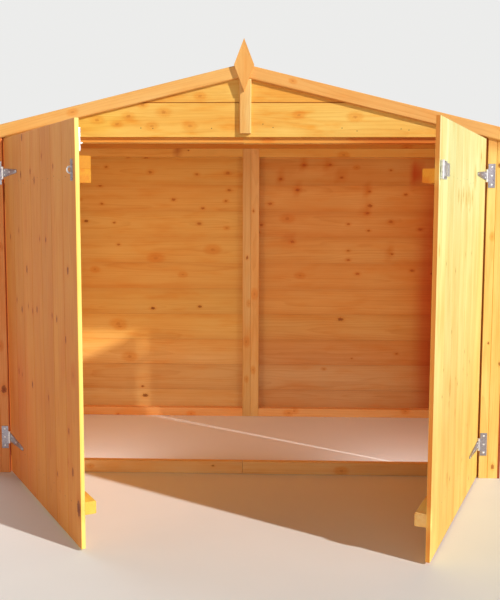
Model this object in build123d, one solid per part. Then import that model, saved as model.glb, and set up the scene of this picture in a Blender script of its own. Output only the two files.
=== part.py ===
"""Low timber bicycle shelter with an apex roof and a pair of hinged doors.

Millimetres. +X runs to the right seen from the front, +Y runs into the shelter, +Z is up.
The origin is the centre of the sill's underside. The doors stand open, as they are at rest.
"""
from build123d import *
from math import cos, radians, tan
import os

# Overall size of the shelter
wall_half_width = 945.0        # centre line to the outer face of a side wall
roof_pitch = 13.65             # degrees
eaves_overhang = 55.0          # roof beyond a side wall's outer face
inner_depth = 898.0            # origin to the inner face of the back frame

# Timber sections
batten = 38.0                  # square framing
batten_ease = 2.0              # chamfer on the edges of planed battens
ridge_bar_h = 52.0
cladding_t = 9.0               # side and back boards
gable_board_t = 13.0           # boards above the doors
board_pitch = 121.0            # cover width of every matched board
vee_depth = 1.6                # depth of the V where two boards meet
seam_w = 1.0                   # gap between two boards on their plain side
seam_depth = 1.5
deck_t = 10.0                  # roof boards
felt_t = 2.5                   # roof felt
bargeboard_w = 45.5
bargeboard_t = 14.0
trim_round = 3.5               # rounded edges of the bargeboards and the finial
fascia_t = 12.0
fascia_h = 38.0
sill_h = 46.0
sill_depth = 28.0
sill_joint_w = 1.0             # gap between the two lengths of the sill
sill_joint_depth = 3.0
jamb_strip_w = 31.25
stud_gap = 0.4                 # between the two back panels' studs at the centre
cover_strip_w = 45.0

# Heights above the ground
infill_z = 1235.0              # underside of the boards above the doors
eaves_rise = 25.5              # from there up to the roof's top over a side wall's outer face
lintel_show = 21.0             # lintel seen below those boards
lintel_step = 2.0              # the left half of the lintel sits this much higher
lintel_h = 38.0
back_rise = 4.0                # back panels' top above the lintel's top

# Doors
door_t = 13.0
door_bottom_z = 7.0
head_gap = 6.0                 # door top to the boards above it
stop_gap = 5.5                 # back of a closed door to the frame behind it
meeting_gap = 6.0              # between the closed doors
edge_gap = 2.75                # hinge pin to the door's edge, and to the jamb strip's edge
left_open = 60.1               # degrees from closed, as the doors stand
right_open = 69.2
ledge_h = 38.0
ledge_t = 33.0
ledge_inset = 11.0             # ledge's end back from the door's hinge edge
bottom_ledge_z = 106.5
top_ledge_drop = 177.0         # door's top down to the top ledge's underside
brace_w = 38.0
brace_foot_inset = 45.0        # brace's foot in from the bottom ledge's end
brace_head_inset = 190.0       # brace's head in from the door's free edge
catch_block_h = 37.0           # block above the left door's top ledge
catch_block_len = 120.0

# Tee hinges
hinge_top_drop = 129.0         # door's top down to the middle of the top hinge
hinge_bottom_z = 128.0
left_hinge_rise = 7.0          # the left door's hinges sit this much higher
plate_t = 2.5
knuckle_r = 4.5
knuckle_clear = 1.0            # room between a knuckle and the other half's plate
hinge_pin_r = 2.2
running_gap = 0.05
leaf_w = 30.0
leaf_h = 84.0
leaf_knuckle_h = 12.0
strap_knuckle_h = 20.0
knuckle_gap = 0.5
strap_len = 190.0
strap_hub_w = 31.0
strap_tip_w = 12.0

# Hasp and staple
hasp_drop = 140.5              # door's top down to the middle of the hasp
hasp_leaf_len = 92.0
hasp_leaf_h = 50.0
hasp_strap_len = 78.0
hasp_strap_h = 36.0
hasp_plate_t = 2.0
hasp_corner = 5.0              # rounded corners of the hasp's plates
hasp_edge = 8.0                # hasp pin in from the door's free edge
hasp_pin_out = 7.0             # hasp pin out from the door's face
hasp_knuckle_r = 4.5
hasp_pin_r = 2.0
hasp_knuckle_h = 16.0
slot_h = 26.0
slot_w = 13.0
staple_reach = 45.0            # hasp pin to the staple when it is fastened
staple_out = 15.5
staple_wire_r = 2.5
staple_leg_gap = 18.0
staple_plate_w = 22.0
staple_plate_h = 60.0
staple_plate_t = 1.0

# Tower bolt
bolt_drop = 25.0               # door's top down to the top of the bolt's plate
bolt_plate_h = 65.0
bolt_plate_w = 24.0
bolt_plate_t = 1.5
bolt_edge = 14.0               # bolt's centre in from the door's free edge
bolt_r = 3.0
bolt_standoff = 1.0            # room between the bolt and its plate
bolt_guide_h = 9.0
bolt_guide_w = 13.0
bolt_guide_wall = 1.0          # guide's metal in front of the bolt
bolt_guide_inset = 4.0         # guides in from the plate's ends
bolt_travel = 20.0
bolt_knob_len = 9.0
keeper_clear = 4.0             # room round the bolt in the lintel

# Finial
finial_x = 4.5                 # the diamond and its stem are fixed a little off centre
finial_half_w = 35.5
finial_half_h = 91.0
finial_drop = 6.0              # diamond's centre below the bargeboards' top
finial_t = 13.0
stem_x = 8.5
stem_w = 42.0
stem_rise = 12.0               # stem's foot above the underside of the gable boards

# Planes and heights that the sizes above give
slope = tan(radians(roof_pitch))
apex_z = infill_z + eaves_rise + slope * wall_half_width
frame_y = -sill_depth / 2
infill_y = frame_y - gable_board_t
verge_y = infill_y - bargeboard_t
door_back_y = frame_y - stop_gap
door_y = door_back_y - door_t
pin_y = door_y - knuckle_r
back_frame_y = inner_depth + batten
back_y = back_frame_y + cladding_t
roof_half = wall_half_width + eaves_overhang
cladding_x = wall_half_width - cladding_t
stile_x = cladding_x - batten
post_x = stile_x - batten
strip_x = stile_x - jamb_strip_w
pin_x = strip_x - edge_gap
door_edge_x = pin_x - edge_gap
free_x = meeting_gap / 2
door_top_z = infill_z - head_gap
lintel_z = infill_z - lintel_show
lintel_top_z = lintel_z + lintel_h
back_top_z = lintel_top_z + back_rise
top_ledge_z = door_top_z - top_ledge_drop
hinge_top_z = door_top_z - hinge_top_drop
hasp_z = door_top_z - hasp_drop
bolt_z = door_top_z - bolt_drop - bolt_plate_h
finial_z = apex_z - finial_drop
stem_bottom_z = infill_z + stem_rise
bargeboard_drop = bargeboard_w / cos(radians(roof_pitch))
felt_drop = felt_t / cos(radians(roof_pitch))
deck_drop = deck_t / cos(radians(roof_pitch))
batten_drop = batten / cos(radians(roof_pitch))
left, right = -1, 1


def roof_z(x, drop=0.0):
    """Height of the roof's top face at x, or of a face that lies drop below it."""
    return apex_z - slope * abs(x) - drop


def under_z(x):
    """Height of the roof boards' underside at x."""
    return roof_z(x, felt_drop + deck_drop)


def block(x0, x1, y0, y1, z0, z1):
    """A box between two corners."""
    size = (abs(x1 - x0), abs(y1 - y0), abs(z1 - z0))
    centre = ((x0 + x1) / 2, (y0 + y1) / 2, (z0 + z1) / 2)
    return Pos(*centre) * Box(*size)


def profile(points, y0, y1):
    """A prism with an outline in X and Z, from y0 back to y1."""
    face = Plane.XZ.offset(-y1) * Polygon(*points, align=None)
    return extrude(face, amount=y1 - y0, dir=(0, -1, 0))


def rod(radius, height, x, y, z):
    """An upright cylinder that stands on z."""
    return Pos(x, y, z + height / 2) * Cylinder(radius, height)


def above_roof_boards():
    """Everything above the roof boards' underside, to trim the walls with."""
    reach, top = 2 * roof_half, 2 * apex_z
    points = [(-reach, under_z(reach)), (0, under_z(0)), (reach, under_z(reach))]
    points += [(reach, top), (-reach, top)]
    return profile(points, 2 * verge_y, 2 * back_y)


def above_bargeboards():
    """Everything in front of the gable and above the bargeboards' lower edges."""
    reach, top = 2 * roof_half, 2 * apex_z
    low = [(x, roof_z(x, bargeboard_drop)) for x in (-reach, 0, reach)]
    return profile(low + [(reach, top), (-reach, top)], 2 * verge_y, infill_y)


def ease_long_edges(solid, size, tool=fillet, face=0):
    """Round or chamfer the long edges of a board's front face, or of its back face for face -1."""
    chosen = solid.faces().sort_by(Axis.Y)[face]
    longest = max(edge.length for edge in chosen.edges())
    edges = [edge for edge in chosen.edges() if edge.length > longest / 2]
    return tool(edges, size)


def planed(solid, face=0):
    """A batten with its long edges eased on the face that shows."""
    return ease_long_edges(solid, batten_ease, chamfer, face)


def upright_joint(x, vee_y, seam_y, z0, z1):
    """The cuts where two upright boards meet: a V on one face and a narrow seam on the other."""
    side = vee_depth * 2 ** 0.5
    vee = Pos(x, vee_y, (z0 + z1) / 2) * Rot(0, 0, 45) * Box(side, side, z1 - z0)
    return vee + Pos(x, seam_y, (z0 + z1) / 2) * Box(seam_w, 2 * seam_depth, z1 - z0)


def level_joint(x0, x1, vee_y, seam_y, z):
    """The cuts where two level boards of the front or the back meet."""
    side = vee_depth * 2 ** 0.5
    vee = Pos((x0 + x1) / 2, vee_y, z) * Rot(45, 0, 0) * Box(abs(x1 - x0), side, side)
    return vee + Pos((x0 + x1) / 2, seam_y, z) * Box(abs(x1 - x0), 2 * seam_depth, seam_w)


def side_joint(side, y0, y1, z):
    """The cuts where two level boards of a side wall meet."""
    edge = vee_depth * 2 ** 0.5
    vee = Pos(side * wall_half_width, (y0 + y1) / 2, z) * Rot(0, 45, 0) * Box(edge, y1 - y0, edge)
    return vee + Pos(side * cladding_x, (y0 + y1) / 2, z) * Box(2 * seam_depth, y1 - y0, seam_w)


def level_joint_heights(top):
    """Heights of the joints between level boards, from the ground up to top."""
    return [board_pitch * row for row in range(1, int(top // board_pitch) + 1)]


def sill():
    """The bar across the foot of the doorway, made of two lengths that meet in the middle."""
    bar = planed(block(-post_x, post_x, frame_y, frame_y + sill_depth, 0, sill_h))
    half = sill_joint_w / 2
    front_cut = block(-half, half, frame_y, frame_y + sill_joint_depth, 0, sill_h)
    top_cut = block(-half, half, frame_y, frame_y + sill_depth, sill_h - sill_joint_depth, sill_h)
    return bar - front_cut - top_cut


def lintel(side):
    """One half of the rail that the doors close against, with the tower bolt's keeper on the left."""
    lift = lintel_step if side == left else 0
    half = planed(block(0, side * post_x, frame_y, frame_y + batten, lintel_z + lift, lintel_top_z))
    if side == left:
        x, y = -free_x - bolt_edge, bolt_y()
        room = bolt_r + keeper_clear
        half -= block(x - room, x + room, frame_y, y + room, lintel_z, infill_z + lift)
    return half


def front_post(side):
    """The frame post beside the doorway."""
    post = block(side * post_x, side * stile_x, frame_y, frame_y + batten, 0, apex_z)
    return post - above_roof_boards()


def jamb_strip(side):
    """The strip that a door's hinges are screwed to, level with the closed door."""
    strip = planed(block(side * strip_x, side * stile_x, door_y, frame_y, 0, infill_z))
    return strip - above_bargeboards()


def gable_boards():
    """The lower and the upper board of the front gable."""
    split = infill_z + board_pitch
    lower = block(-wall_half_width, wall_half_width, infill_y, frame_y, infill_z, split)
    upper = block(-wall_half_width, wall_half_width, infill_y, frame_y, split, apex_z)
    cuts = above_roof_boards() + level_joint(-wall_half_width, wall_half_width, infill_y, frame_y, split)
    return lower - cuts, upper - cuts


def bargeboard(side, y0, y1):
    """A sloping board that covers the roof's edge, with a plumb joint at the centre."""
    far = side * (roof_half + felt_t)
    points = [(0, roof_z(0)), (far, roof_z(far))]
    points += [(far, roof_z(far, bargeboard_drop)), (0, roof_z(0, bargeboard_drop))]
    return profile(points, y0, y1)


def finial_diamond():
    """The diamond that covers the bargeboards' joint."""
    low, high = finial_z - finial_half_h, finial_z + finial_half_h
    points = [(finial_x, high), (finial_x + finial_half_w, finial_z)]
    points += [(finial_x, low), (finial_x - finial_half_w, finial_z)]
    plate = profile(points, verge_y - finial_t, verge_y)
    return ease_long_edges(plate, trim_round)


def finial_stem():
    """The upright strip below the diamond, cut to fit under the bargeboards."""
    strip = block(stem_x - stem_w / 2, stem_x + stem_w / 2, verge_y, infill_y, stem_bottom_z, apex_z)
    strip = ease_long_edges(strip, trim_round)
    return strip - above_bargeboards()


def side_wall(side):
    """The boards of a side wall, under the roof and behind the gable's ends."""
    wall = block(side * cladding_x, side * wall_half_width, door_y, back_frame_y, 0, apex_z)
    wall -= block(side * cladding_x, side * wall_half_width, infill_y, frame_y, infill_z, apex_z)
    for z in level_joint_heights(infill_z):
        wall -= side_joint(side, door_y, back_frame_y, z)
    return wall - above_roof_boards() - above_bargeboards()


def side_studs():
    """The uprights of both side walls: front, middle and back."""
    studs = []
    front_back_y = door_y + batten
    middle_y = (front_back_y + inner_depth) / 2
    for side in (left, right):
        x0, x1 = side * stile_x, side * cladding_x
        front = planed(block(x0, x1, door_y, front_back_y, 0, infill_z)) - above_bargeboards()
        middle = block(x0, x1, middle_y - batten / 2, middle_y + batten / 2, batten, side_rail_z())
        back = block(x0, x1, inner_depth, back_frame_y, 0, apex_z) - above_roof_boards()
        studs += [front, middle, back]
    return studs


def side_rail_z():
    """Underside of a side wall's top rail."""
    return under_z(cladding_x) - batten


def side_rails():
    """The bottom and top rails of both side walls; the top rails take the roof's slope."""
    rails = []
    for side in (left, right):
        x0, x1 = side * stile_x, side * cladding_x
        rails.append(block(x0, x1, door_y + batten, inner_depth, 0, batten))
        top = block(x0, x1, door_y + batten, inner_depth, side_rail_z(), apex_z)
        rails.append(top - above_roof_boards())
    return rails


def back_wall(side):
    """The boards of one half of the back wall."""
    half = block(0, side * wall_half_width, back_frame_y, back_y, 0, apex_z)
    for z in level_joint_heights(apex_z):
        half -= level_joint(0, side * wall_half_width, back_y, back_frame_y, z)
    return half - above_roof_boards()


def back_studs():
    """The uprights of the two back panels; the middle two meet with a hair's gap."""
    studs = []
    for side in (left, right):
        outer = block(side * post_x, side * stile_x, inner_depth, back_frame_y, 0, apex_z)
        inner = block(side * stud_gap / 2, side * batten, inner_depth, back_frame_y, 0, back_top_z)
        studs += [outer - above_roof_boards(), inner]
    return studs


def back_rails():
    """The bottom and top rails of the two back panels."""
    rails = []
    for side in (left, right):
        for low in (0, back_top_z - batten):
            rails.append(block(side * batten, side * post_x, inner_depth, back_frame_y, low, low + batten))
    return rails


def back_cover_strip():
    """The strip outside that covers the joint between the two back panels."""
    half = cover_strip_w / 2
    strip = block(-half, half, back_y, back_y + cladding_t, 0, apex_z)
    strip -= block(-half, half, back_y, back_y + cladding_t, roof_z(half, bargeboard_drop), apex_z)
    return planed(strip, face=-1)


def roof_deck(side):
    """The roof boards of one slope."""
    far = side * roof_half
    points = [(0, roof_z(0, felt_drop)), (far, roof_z(far, felt_drop)), (far, under_z(far)), (0, under_z(0))]
    return profile(points, infill_y, back_y)


def roof_felt():
    """One sheet of felt over both slopes, folded down over the eaves."""
    out = roof_half + felt_t
    drop = felt_drop + deck_drop + fascia_h
    points = [(-out, roof_z(out)), (0, roof_z(0)), (out, roof_z(out)), (out, roof_z(roof_half, drop))]
    points += [(roof_half, roof_z(roof_half, drop)), (roof_half, roof_z(roof_half, felt_drop))]
    points += [(0, roof_z(0, felt_drop)), (-roof_half, roof_z(roof_half, felt_drop))]
    points += [(-roof_half, roof_z(roof_half, drop)), (-out, roof_z(roof_half, drop))]
    return profile(points, infill_y, back_y)


def eaves_fascia(side):
    """The board under the roof's low edge, which the felt is nailed to."""
    near, far = side * (roof_half - fascia_t), side * roof_half
    low = under_z(far) - fascia_h
    return profile([(near, under_z(near)), (far, under_z(far)), (far, low), (near, low)], infill_y, back_y)


def ridge_bar():
    """The bar under the ridge, from gable to gable."""
    half, low = batten / 2, under_z(0) - ridge_bar_h
    points = [(-half, low), (half, low), (half, under_z(half)), (0, under_z(0)), (-half, under_z(half))]
    return profile(points, frame_y, back_frame_y)


def purlins():
    """One bar half way down each slope, square to the roof boards."""
    bars = []
    middle = (batten / 2 + post_x) / 2
    for side in (left, right):
        x0, x1 = side * (middle - batten / 2), side * (middle + batten / 2)
        points = [(x0, under_z(x0)), (x1, under_z(x1))]
        points += [(x1, under_z(x1) - batten), (x0, under_z(x0) - batten)]
        bars.append(profile(points, frame_y + batten, inner_depth))
    return bars


def gable_rafters():
    """The frames of both gables: a level bar on the rails, and sloping bars from it up to the ridge bar."""
    bars = []
    near, far = batten / 2, post_x
    for y0, low in ((frame_y, lintel_top_z), (inner_depth, back_top_z)):
        y1, high = y0 + batten, low + batten
        bars.append(block(-post_x, post_x, y0, y1, low, high) - above_roof_boards())
        for side in (left, right):
            points = [(near, under_z(near)), (far, under_z(far))]
            points += [(far, under_z(far) - batten_drop), (near, under_z(near) - batten_drop)]
            bar = profile([(side * x, z) for x, z in points], y0, y1)
            bars.append(bar - block(0, side * stile_x, y0, y1, 0, high))
    return bars


def hinge_leaf(side, z):
    """The upright leaf of a tee hinge on the jamb strip, with its two knuckles and the pin."""
    x0, x1 = side * pin_x, side * (pin_x + leaf_w)
    leaf = block(x0, x1, door_y - plate_t, door_y, z - leaf_h / 2, z + leaf_h / 2)
    room = strap_knuckle_h / 2 + knuckle_gap
    tail = room + leaf_knuckle_h
    notch_x0, notch_x1 = side * (pin_x - knuckle_clear), side * (pin_x + knuckle_r + knuckle_clear)
    for low, high in ((z - leaf_h / 2, z - tail), (z - room, z + room), (z + tail, z + leaf_h / 2)):
        leaf -= block(notch_x0, notch_x1, door_y - plate_t, door_y, low, high)
    leaf += rod(hinge_pin_r, 2 * tail, side * pin_x, pin_y, z - tail)
    for low in (z - tail, z + room):
        leaf += rod(knuckle_r, leaf_knuckle_h, side * pin_x, pin_y, low)
    return leaf


def hinge_strap(side, z):
    """The tapered strap of a tee hinge on the closed door."""
    hub, tip = strap_hub_w / 2, strap_tip_w / 2
    end, shoulder = strap_len - tip, knuckle_r + knuckle_clear
    points = [(0, z - strap_knuckle_h / 2), (shoulder, z - strap_knuckle_h / 2), (shoulder, z - hub)]
    points += [(end, z - tip), (end, z + tip), (shoulder, z + hub)]
    points += [(shoulder, z + strap_knuckle_h / 2), (0, z + strap_knuckle_h / 2)]
    points = [(side * (pin_x - along), height) for along, height in points]
    strap = profile(points, door_y - plate_t, door_y)
    strap += Pos(side * (pin_x - end), door_y - plate_t / 2, z) * Rot(90, 0, 0) * Cylinder(tip, plate_t)
    x, low = side * pin_x, z - strap_knuckle_h / 2
    strap += rod(knuckle_r, strap_knuckle_h, x, pin_y, low)
    return strap - rod(hinge_pin_r + running_gap, strap_knuckle_h, x, pin_y, low)


def hinge_heights(side):
    """Heights of the middles of one door's two hinges."""
    rise = left_hinge_rise if side == left else 0
    return hinge_bottom_z + rise, hinge_top_z + rise


def hinge_leaves():
    """The four leaves on the jamb strips."""
    return [hinge_leaf(side, z) for side in (left, right) for z in hinge_heights(side)]


def hinge_straps(side):
    """The two straps on one door."""
    return [hinge_strap(side, z) for z in hinge_heights(side)]


def door_boards(side):
    """The matched upright boards of one closed door, with the cut boards shared out to its edges."""
    leaf = block(side * free_x, side * door_edge_x, door_y, door_back_y, door_bottom_z, door_top_z)
    count = int((door_edge_x - free_x) // board_pitch)
    middle = (door_edge_x + free_x) / 2
    for number in range(1, count):
        x = side * (middle + (number - count / 2) * board_pitch)
        leaf -= upright_joint(x, door_y, door_back_y, door_bottom_z, door_top_z)
    return leaf


def door_ledges(side):
    """The two bars across the inside of a closed door."""
    x0, x1 = side * free_x, side * (door_edge_x - ledge_inset)
    heights = (bottom_ledge_z, top_ledge_z)
    bars = [block(x0, x1, door_back_y, door_back_y + ledge_t, z, z + ledge_h) for z in heights]
    return [planed(bar, face=-1) for bar in bars]


def door_brace(side):
    """The sloping bar between the ledges, from the hinge side at the bottom to the free side at the top."""
    low, high = bottom_ledge_z + ledge_h, top_ledge_z
    foot = door_edge_x - ledge_inset - brace_foot_inset
    head = free_x + brace_head_inset
    lean = foot - head - brace_w
    run = brace_w * (1 + (lean / (high - low)) ** 2) ** 0.5
    points = [(foot - run, low), (foot, low), (head + run, high), (head, high)]
    bar = profile([(side * x, z) for x, z in points], door_back_y, door_back_y + ledge_t)
    return planed(bar, face=-1)


def catch_block():
    """The short block above the left door's top ledge."""
    low = top_ledge_z + ledge_h
    end = -free_x - catch_block_len
    return planed(block(-free_x, end, door_back_y, door_back_y + ledge_t, low, low + catch_block_h), face=-1)


def bolt_y():
    """Depth of the tower bolt's centre with the door closed."""
    return door_back_y + bolt_plate_t + bolt_standoff + bolt_r


def tower_bolt_plate():
    """The plate of the tower bolt, with the two guides that the bolt slides in."""
    x, y = -free_x - bolt_edge, bolt_y()
    half = bolt_plate_w / 2
    plate = block(x - half, x + half, door_back_y, door_back_y + bolt_plate_t, bolt_z, bolt_z + bolt_plate_h)
    guide, crown = bolt_guide_w / 2, y + bolt_r + bolt_guide_wall
    for low in (bolt_z + bolt_guide_inset, bolt_z + bolt_plate_h - bolt_guide_inset - bolt_guide_h):
        plate += block(x - guide, x + guide, door_back_y, crown, low, low + bolt_guide_h)
    bore = rod(bolt_r + running_gap, bolt_plate_h, x, y, bolt_z)
    return plate - bore


def tower_bolt_rod():
    """The sliding bolt and its knob, drawn back."""
    x, y = -free_x - bolt_edge, bolt_y()
    shaft = rod(bolt_r, bolt_plate_h, x, y, bolt_z)
    knob_z = bolt_z + bolt_plate_h / 2 - bolt_travel / 2
    knob = Pos(x, y + bolt_knob_len / 2, knob_z) * Rot(90, 0, 0) * Cylinder(bolt_r, bolt_knob_len)
    return shaft + knob


def staple():
    """The loop on the left door that the hasp drops over, with its plate."""
    x = hasp_x() - staple_reach
    half_w, half_h = staple_plate_w / 2, staple_plate_h / 2
    plate = block(x - half_w, x + half_w, door_y - staple_plate_t, door_y, hasp_z - half_h, hasp_z + half_h)
    leg = staple_leg_gap / 2
    bend_y = door_y - staple_out + leg + staple_wire_r
    legs = Line((x, door_y, hasp_z - leg), (x, bend_y, hasp_z - leg))
    arc = ThreePointArc((x, bend_y, hasp_z - leg), (x, bend_y - leg, hasp_z), (x, bend_y, hasp_z + leg))
    path = legs + arc + Line((x, bend_y, hasp_z + leg), (x, door_y, hasp_z + leg))
    wire = sweep(Plane((x, door_y, hasp_z - leg), z_dir=(0, -1, 0)) * Circle(staple_wire_r), path=path)
    return plate + wire


def hasp_x():
    """The hasp's pin with the right door closed."""
    return free_x + hasp_edge


def hasp_y():
    """Depth of the hasp's pin with the right door closed."""
    return door_y - hasp_pin_out


def with_round_end(plate):
    """A hasp plate with the two corners at its far end rounded."""
    corners = plate.edges().filter_by(Axis.Y).sort_by(Axis.X)[-2:]
    return fillet(corners, hasp_corner)


def hasp_leaf():
    """The screwed leaf of the hasp on the right door, with its outer knuckles and pin."""
    x, y = hasp_x(), hasp_y()
    half = hasp_leaf_h / 2
    plate = block(x, x + hasp_leaf_len, door_y - hasp_plate_t, door_y, hasp_z - half, hasp_z + half)
    leaf = with_round_end(plate)
    room = hasp_knuckle_h / 2 + knuckle_gap
    for low, high in ((hasp_z - half, hasp_z - room), (hasp_z + room, hasp_z + half)):
        leaf += rod(hasp_knuckle_r, high - low, x, y, low)
        leaf += block(x, x + hasp_knuckle_r, y, door_y, low, high)
    leaf += rod(hasp_pin_r, hasp_leaf_h, x, y, hasp_z - half)
    reach = hasp_knuckle_r + knuckle_clear
    return leaf - block(x - reach, x + reach, y + reach, door_y, hasp_z - room, hasp_z + room)


def hasp_strap():
    """The slotted strap of the hasp, folded back over its leaf."""
    x, y = hasp_x(), hasp_y()
    outer, inner = y - hasp_knuckle_r, y - hasp_knuckle_r + hasp_plate_t
    half, tongue = hasp_strap_h / 2, hasp_knuckle_h / 2
    shoulder = x + hasp_knuckle_r + knuckle_clear
    strap = with_round_end(block(shoulder, x + hasp_strap_len, outer, inner, hasp_z - half, hasp_z + half))
    strap += block(x, shoulder, outer, inner, hasp_z - tongue, hasp_z + tongue)
    slot = block(-slot_w / 2, slot_w / 2, outer, inner, -slot_h / 2, slot_h / 2)
    strap -= Pos(x + staple_reach, 0, hasp_z) * slot
    strap += rod(hasp_knuckle_r, hasp_knuckle_h, x, y, hasp_z - tongue)
    return strap - rod(hasp_pin_r + running_gap, hasp_knuckle_h, x, y, hasp_z - tongue)


def swing(solids, side):
    """Open a closed door's pieces about its hinge pins to where they stand at rest."""
    angle = right_open if side == right else -left_open
    turn = Pos(side * pin_x, pin_y, 0) * Rot(0, 0, angle) * Pos(-side * pin_x, -pin_y, 0)
    if isinstance(solids, list):
        return [turn * solid for solid in solids]
    return turn * solids


def shelter():
    """The pieces that stand still."""
    lower, upper = gable_boards()
    nodes = {"sill": sill(), "gable_board_lower": lower, "gable_board_upper": upper}
    for name, side in (("left", left), ("right", right)):
        nodes["lintel_" + name] = lintel(side)
        nodes["front_post_" + name] = front_post(side)
        nodes["jamb_strip_" + name] = jamb_strip(side)
        nodes["side_wall_" + name] = side_wall(side)
        nodes["back_wall_" + name] = back_wall(side)
        nodes["roof_deck_" + name] = roof_deck(side)
        nodes["eaves_fascia_" + name] = eaves_fascia(side)
        nodes["bargeboard_front_" + name] = ease_long_edges(bargeboard(side, verge_y, infill_y), trim_round)
        nodes["bargeboard_back_" + name] = bargeboard(side, back_y, back_y + bargeboard_t)
    nodes["finial_diamond"] = finial_diamond()
    nodes["finial_stem"] = finial_stem()
    nodes["side_studs"] = side_studs()
    nodes["side_rails"] = side_rails()
    nodes["back_studs"] = back_studs()
    nodes["back_rails"] = back_rails()
    nodes["back_cover_strip"] = back_cover_strip()
    nodes["roof_felt"] = roof_felt()
    nodes["ridge_bar"] = ridge_bar()
    nodes["purlins"] = purlins()
    nodes["gable_rafters"] = gable_rafters()
    nodes["hinge_leaves"] = hinge_leaves()
    return nodes


def doors():
    """The pieces that swing, at rest."""
    nodes = {}
    for name, side in (("left", left), ("right", right)):
        nodes[name + "_door_boards"] = swing(door_boards(side), side)
        nodes[name + "_door_ledges"] = swing(door_ledges(side), side)
        nodes[name + "_door_brace"] = swing(door_brace(side), side)
        nodes[name + "_door_straps"] = swing(hinge_straps(side), side)
    nodes["catch_block"] = swing(catch_block(), left)
    nodes["tower_bolt_plate"] = swing(tower_bolt_plate(), left)
    nodes["tower_bolt_rod"] = swing(tower_bolt_rod(), left)
    nodes["staple"] = swing(staple(), left)
    nodes["hasp_leaf"] = swing(hasp_leaf(), right)
    nodes["hasp_strap"] = swing(hasp_strap(), right)
    return nodes


def main():
    os.makedirs("parts", exist_ok=True)
    for node, solids in {**shelter(), **doors()}.items():
        if isinstance(solids, list):
            solids = Compound(solids)
        export_step(solids, "parts/" + node + ".step")


main()
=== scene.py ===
"""Timber bicycle shelter: its boards, framing and ironmongery as they look in daylight."""
import random
from math import cos, exp, pi, radians, sin, sqrt, tan

import bmesh
import bpy
from mathutils import Matrix, Vector, noise
from mathutils.geometry import tessellate_polygon


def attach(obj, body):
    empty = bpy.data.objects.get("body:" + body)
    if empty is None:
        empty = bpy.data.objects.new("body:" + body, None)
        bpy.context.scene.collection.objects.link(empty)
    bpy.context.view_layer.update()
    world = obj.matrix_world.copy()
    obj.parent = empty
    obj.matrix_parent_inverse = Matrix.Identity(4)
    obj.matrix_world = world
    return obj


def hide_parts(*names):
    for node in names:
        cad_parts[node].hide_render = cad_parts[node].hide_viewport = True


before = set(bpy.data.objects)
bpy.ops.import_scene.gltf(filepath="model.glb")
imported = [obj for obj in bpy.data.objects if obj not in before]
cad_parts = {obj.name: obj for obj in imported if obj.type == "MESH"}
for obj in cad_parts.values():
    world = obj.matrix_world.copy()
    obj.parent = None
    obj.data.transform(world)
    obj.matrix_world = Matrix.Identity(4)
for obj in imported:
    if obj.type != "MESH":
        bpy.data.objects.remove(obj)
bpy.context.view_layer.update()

# Every length below is in millimetres, and a piece's mesh is brought to metres when it is finished.
METRE = 1000.0
WALL_X, CLAD_X, STILE_X, POST_X = 945.0, 936.0, 898.0, 860.0
STRIP_X, PIN_X, EDGE_X, FREE_X = 866.75, 864.0, 861.25, 3.0
FRAME_Y, INFILL_Y, VERGE_Y = -14.0, -27.0, -41.0
DOOR_BACK_Y, DOOR_Y, PIN_Y = -19.5, -32.5, -37.0
SILL_BACK_Y, FRAME_BACK_Y = 14.0, 24.0
INNER_Y, BACK_FRAME_Y, BACK_Y = 898.0, 936.0, 945.0
SILL_H, INFILL_Z, APEX_Z, DOOR_Z0, DOOR_Z1 = 46.0, 1235.0, 1489.993, 7.0, 1229.0
LINTEL_Z, LINTEL_TOP_Z, BACK_TOP_Z = 1214.0, 1252.0, 1256.0
LEDGE_H, LEDGE_T, LOW_LEDGE_Z, TOP_LEDGE_Z = 38.0, 33.0, 106.5, 1052.0
BATTEN, BOARD, VEE, SEAM, SEAM_DEPTH = 38.0, 121.0, 1.6, 0.5, 1.5
HALF = BATTEN / 2
ROOF_HALF = 1000.0
OVERLONG = 1080.0              # a roof board before the planes cut it
PITCH = radians(13.65)
SLOPE = tan(PITCH)
FELT_T, DECK_T, VERGE_T, VERGE_W = 2.5, 10.0, 14.0, 45.5
UNDER = FELT_T + DECK_T
SIDES = LEFT, RIGHT = -1, 1
OPEN = {LEFT: -radians(60.1), RIGHT: radians(69.2)}
DOOR = {LEFT: "left_door", RIGHT: "right_door"}
NAME = {LEFT: "left", RIGHT: "right"}
AXIS = {"x": Vector((1, 0, 0)), "y": Vector((0, 1, 0)), "z": Vector((0, 0, 1))}
CELL = 27.0                    # size of the faces along and across a board
WAVE, BACK_EASE = 0.3, 0.8     # how far a board's face wanders, and its back rims' chamfer
rng = random.Random(41)


def roof_z(x, drop=0.0):
    """Height of the roof's top at x, or of a face that lies drop below it, square to the slope."""
    return APEX_Z - SLOPE * abs(x) - drop / cos(PITCH)


def spread(first, last, count):
    """Evenly spaced places from the first to the last, with count gaps between them."""
    return [first + (last - first) * i / count for i in range(count + 1)]


def srgb(*colour):
    """A colour as a screen gives it, 12 to 255, in linear values."""
    return Vector([((c / 255 + 0.055) / 1.055) ** 2.4 for c in colour])


def swing(side):
    """Turns a closed door's coordinates to where the door stands open."""
    pin = Matrix.Translation((side * PIN_X, PIN_Y, 0))
    return pin @ Matrix.Rotation(OPEN[side], 4, "Z") @ pin.inverted()


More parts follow.
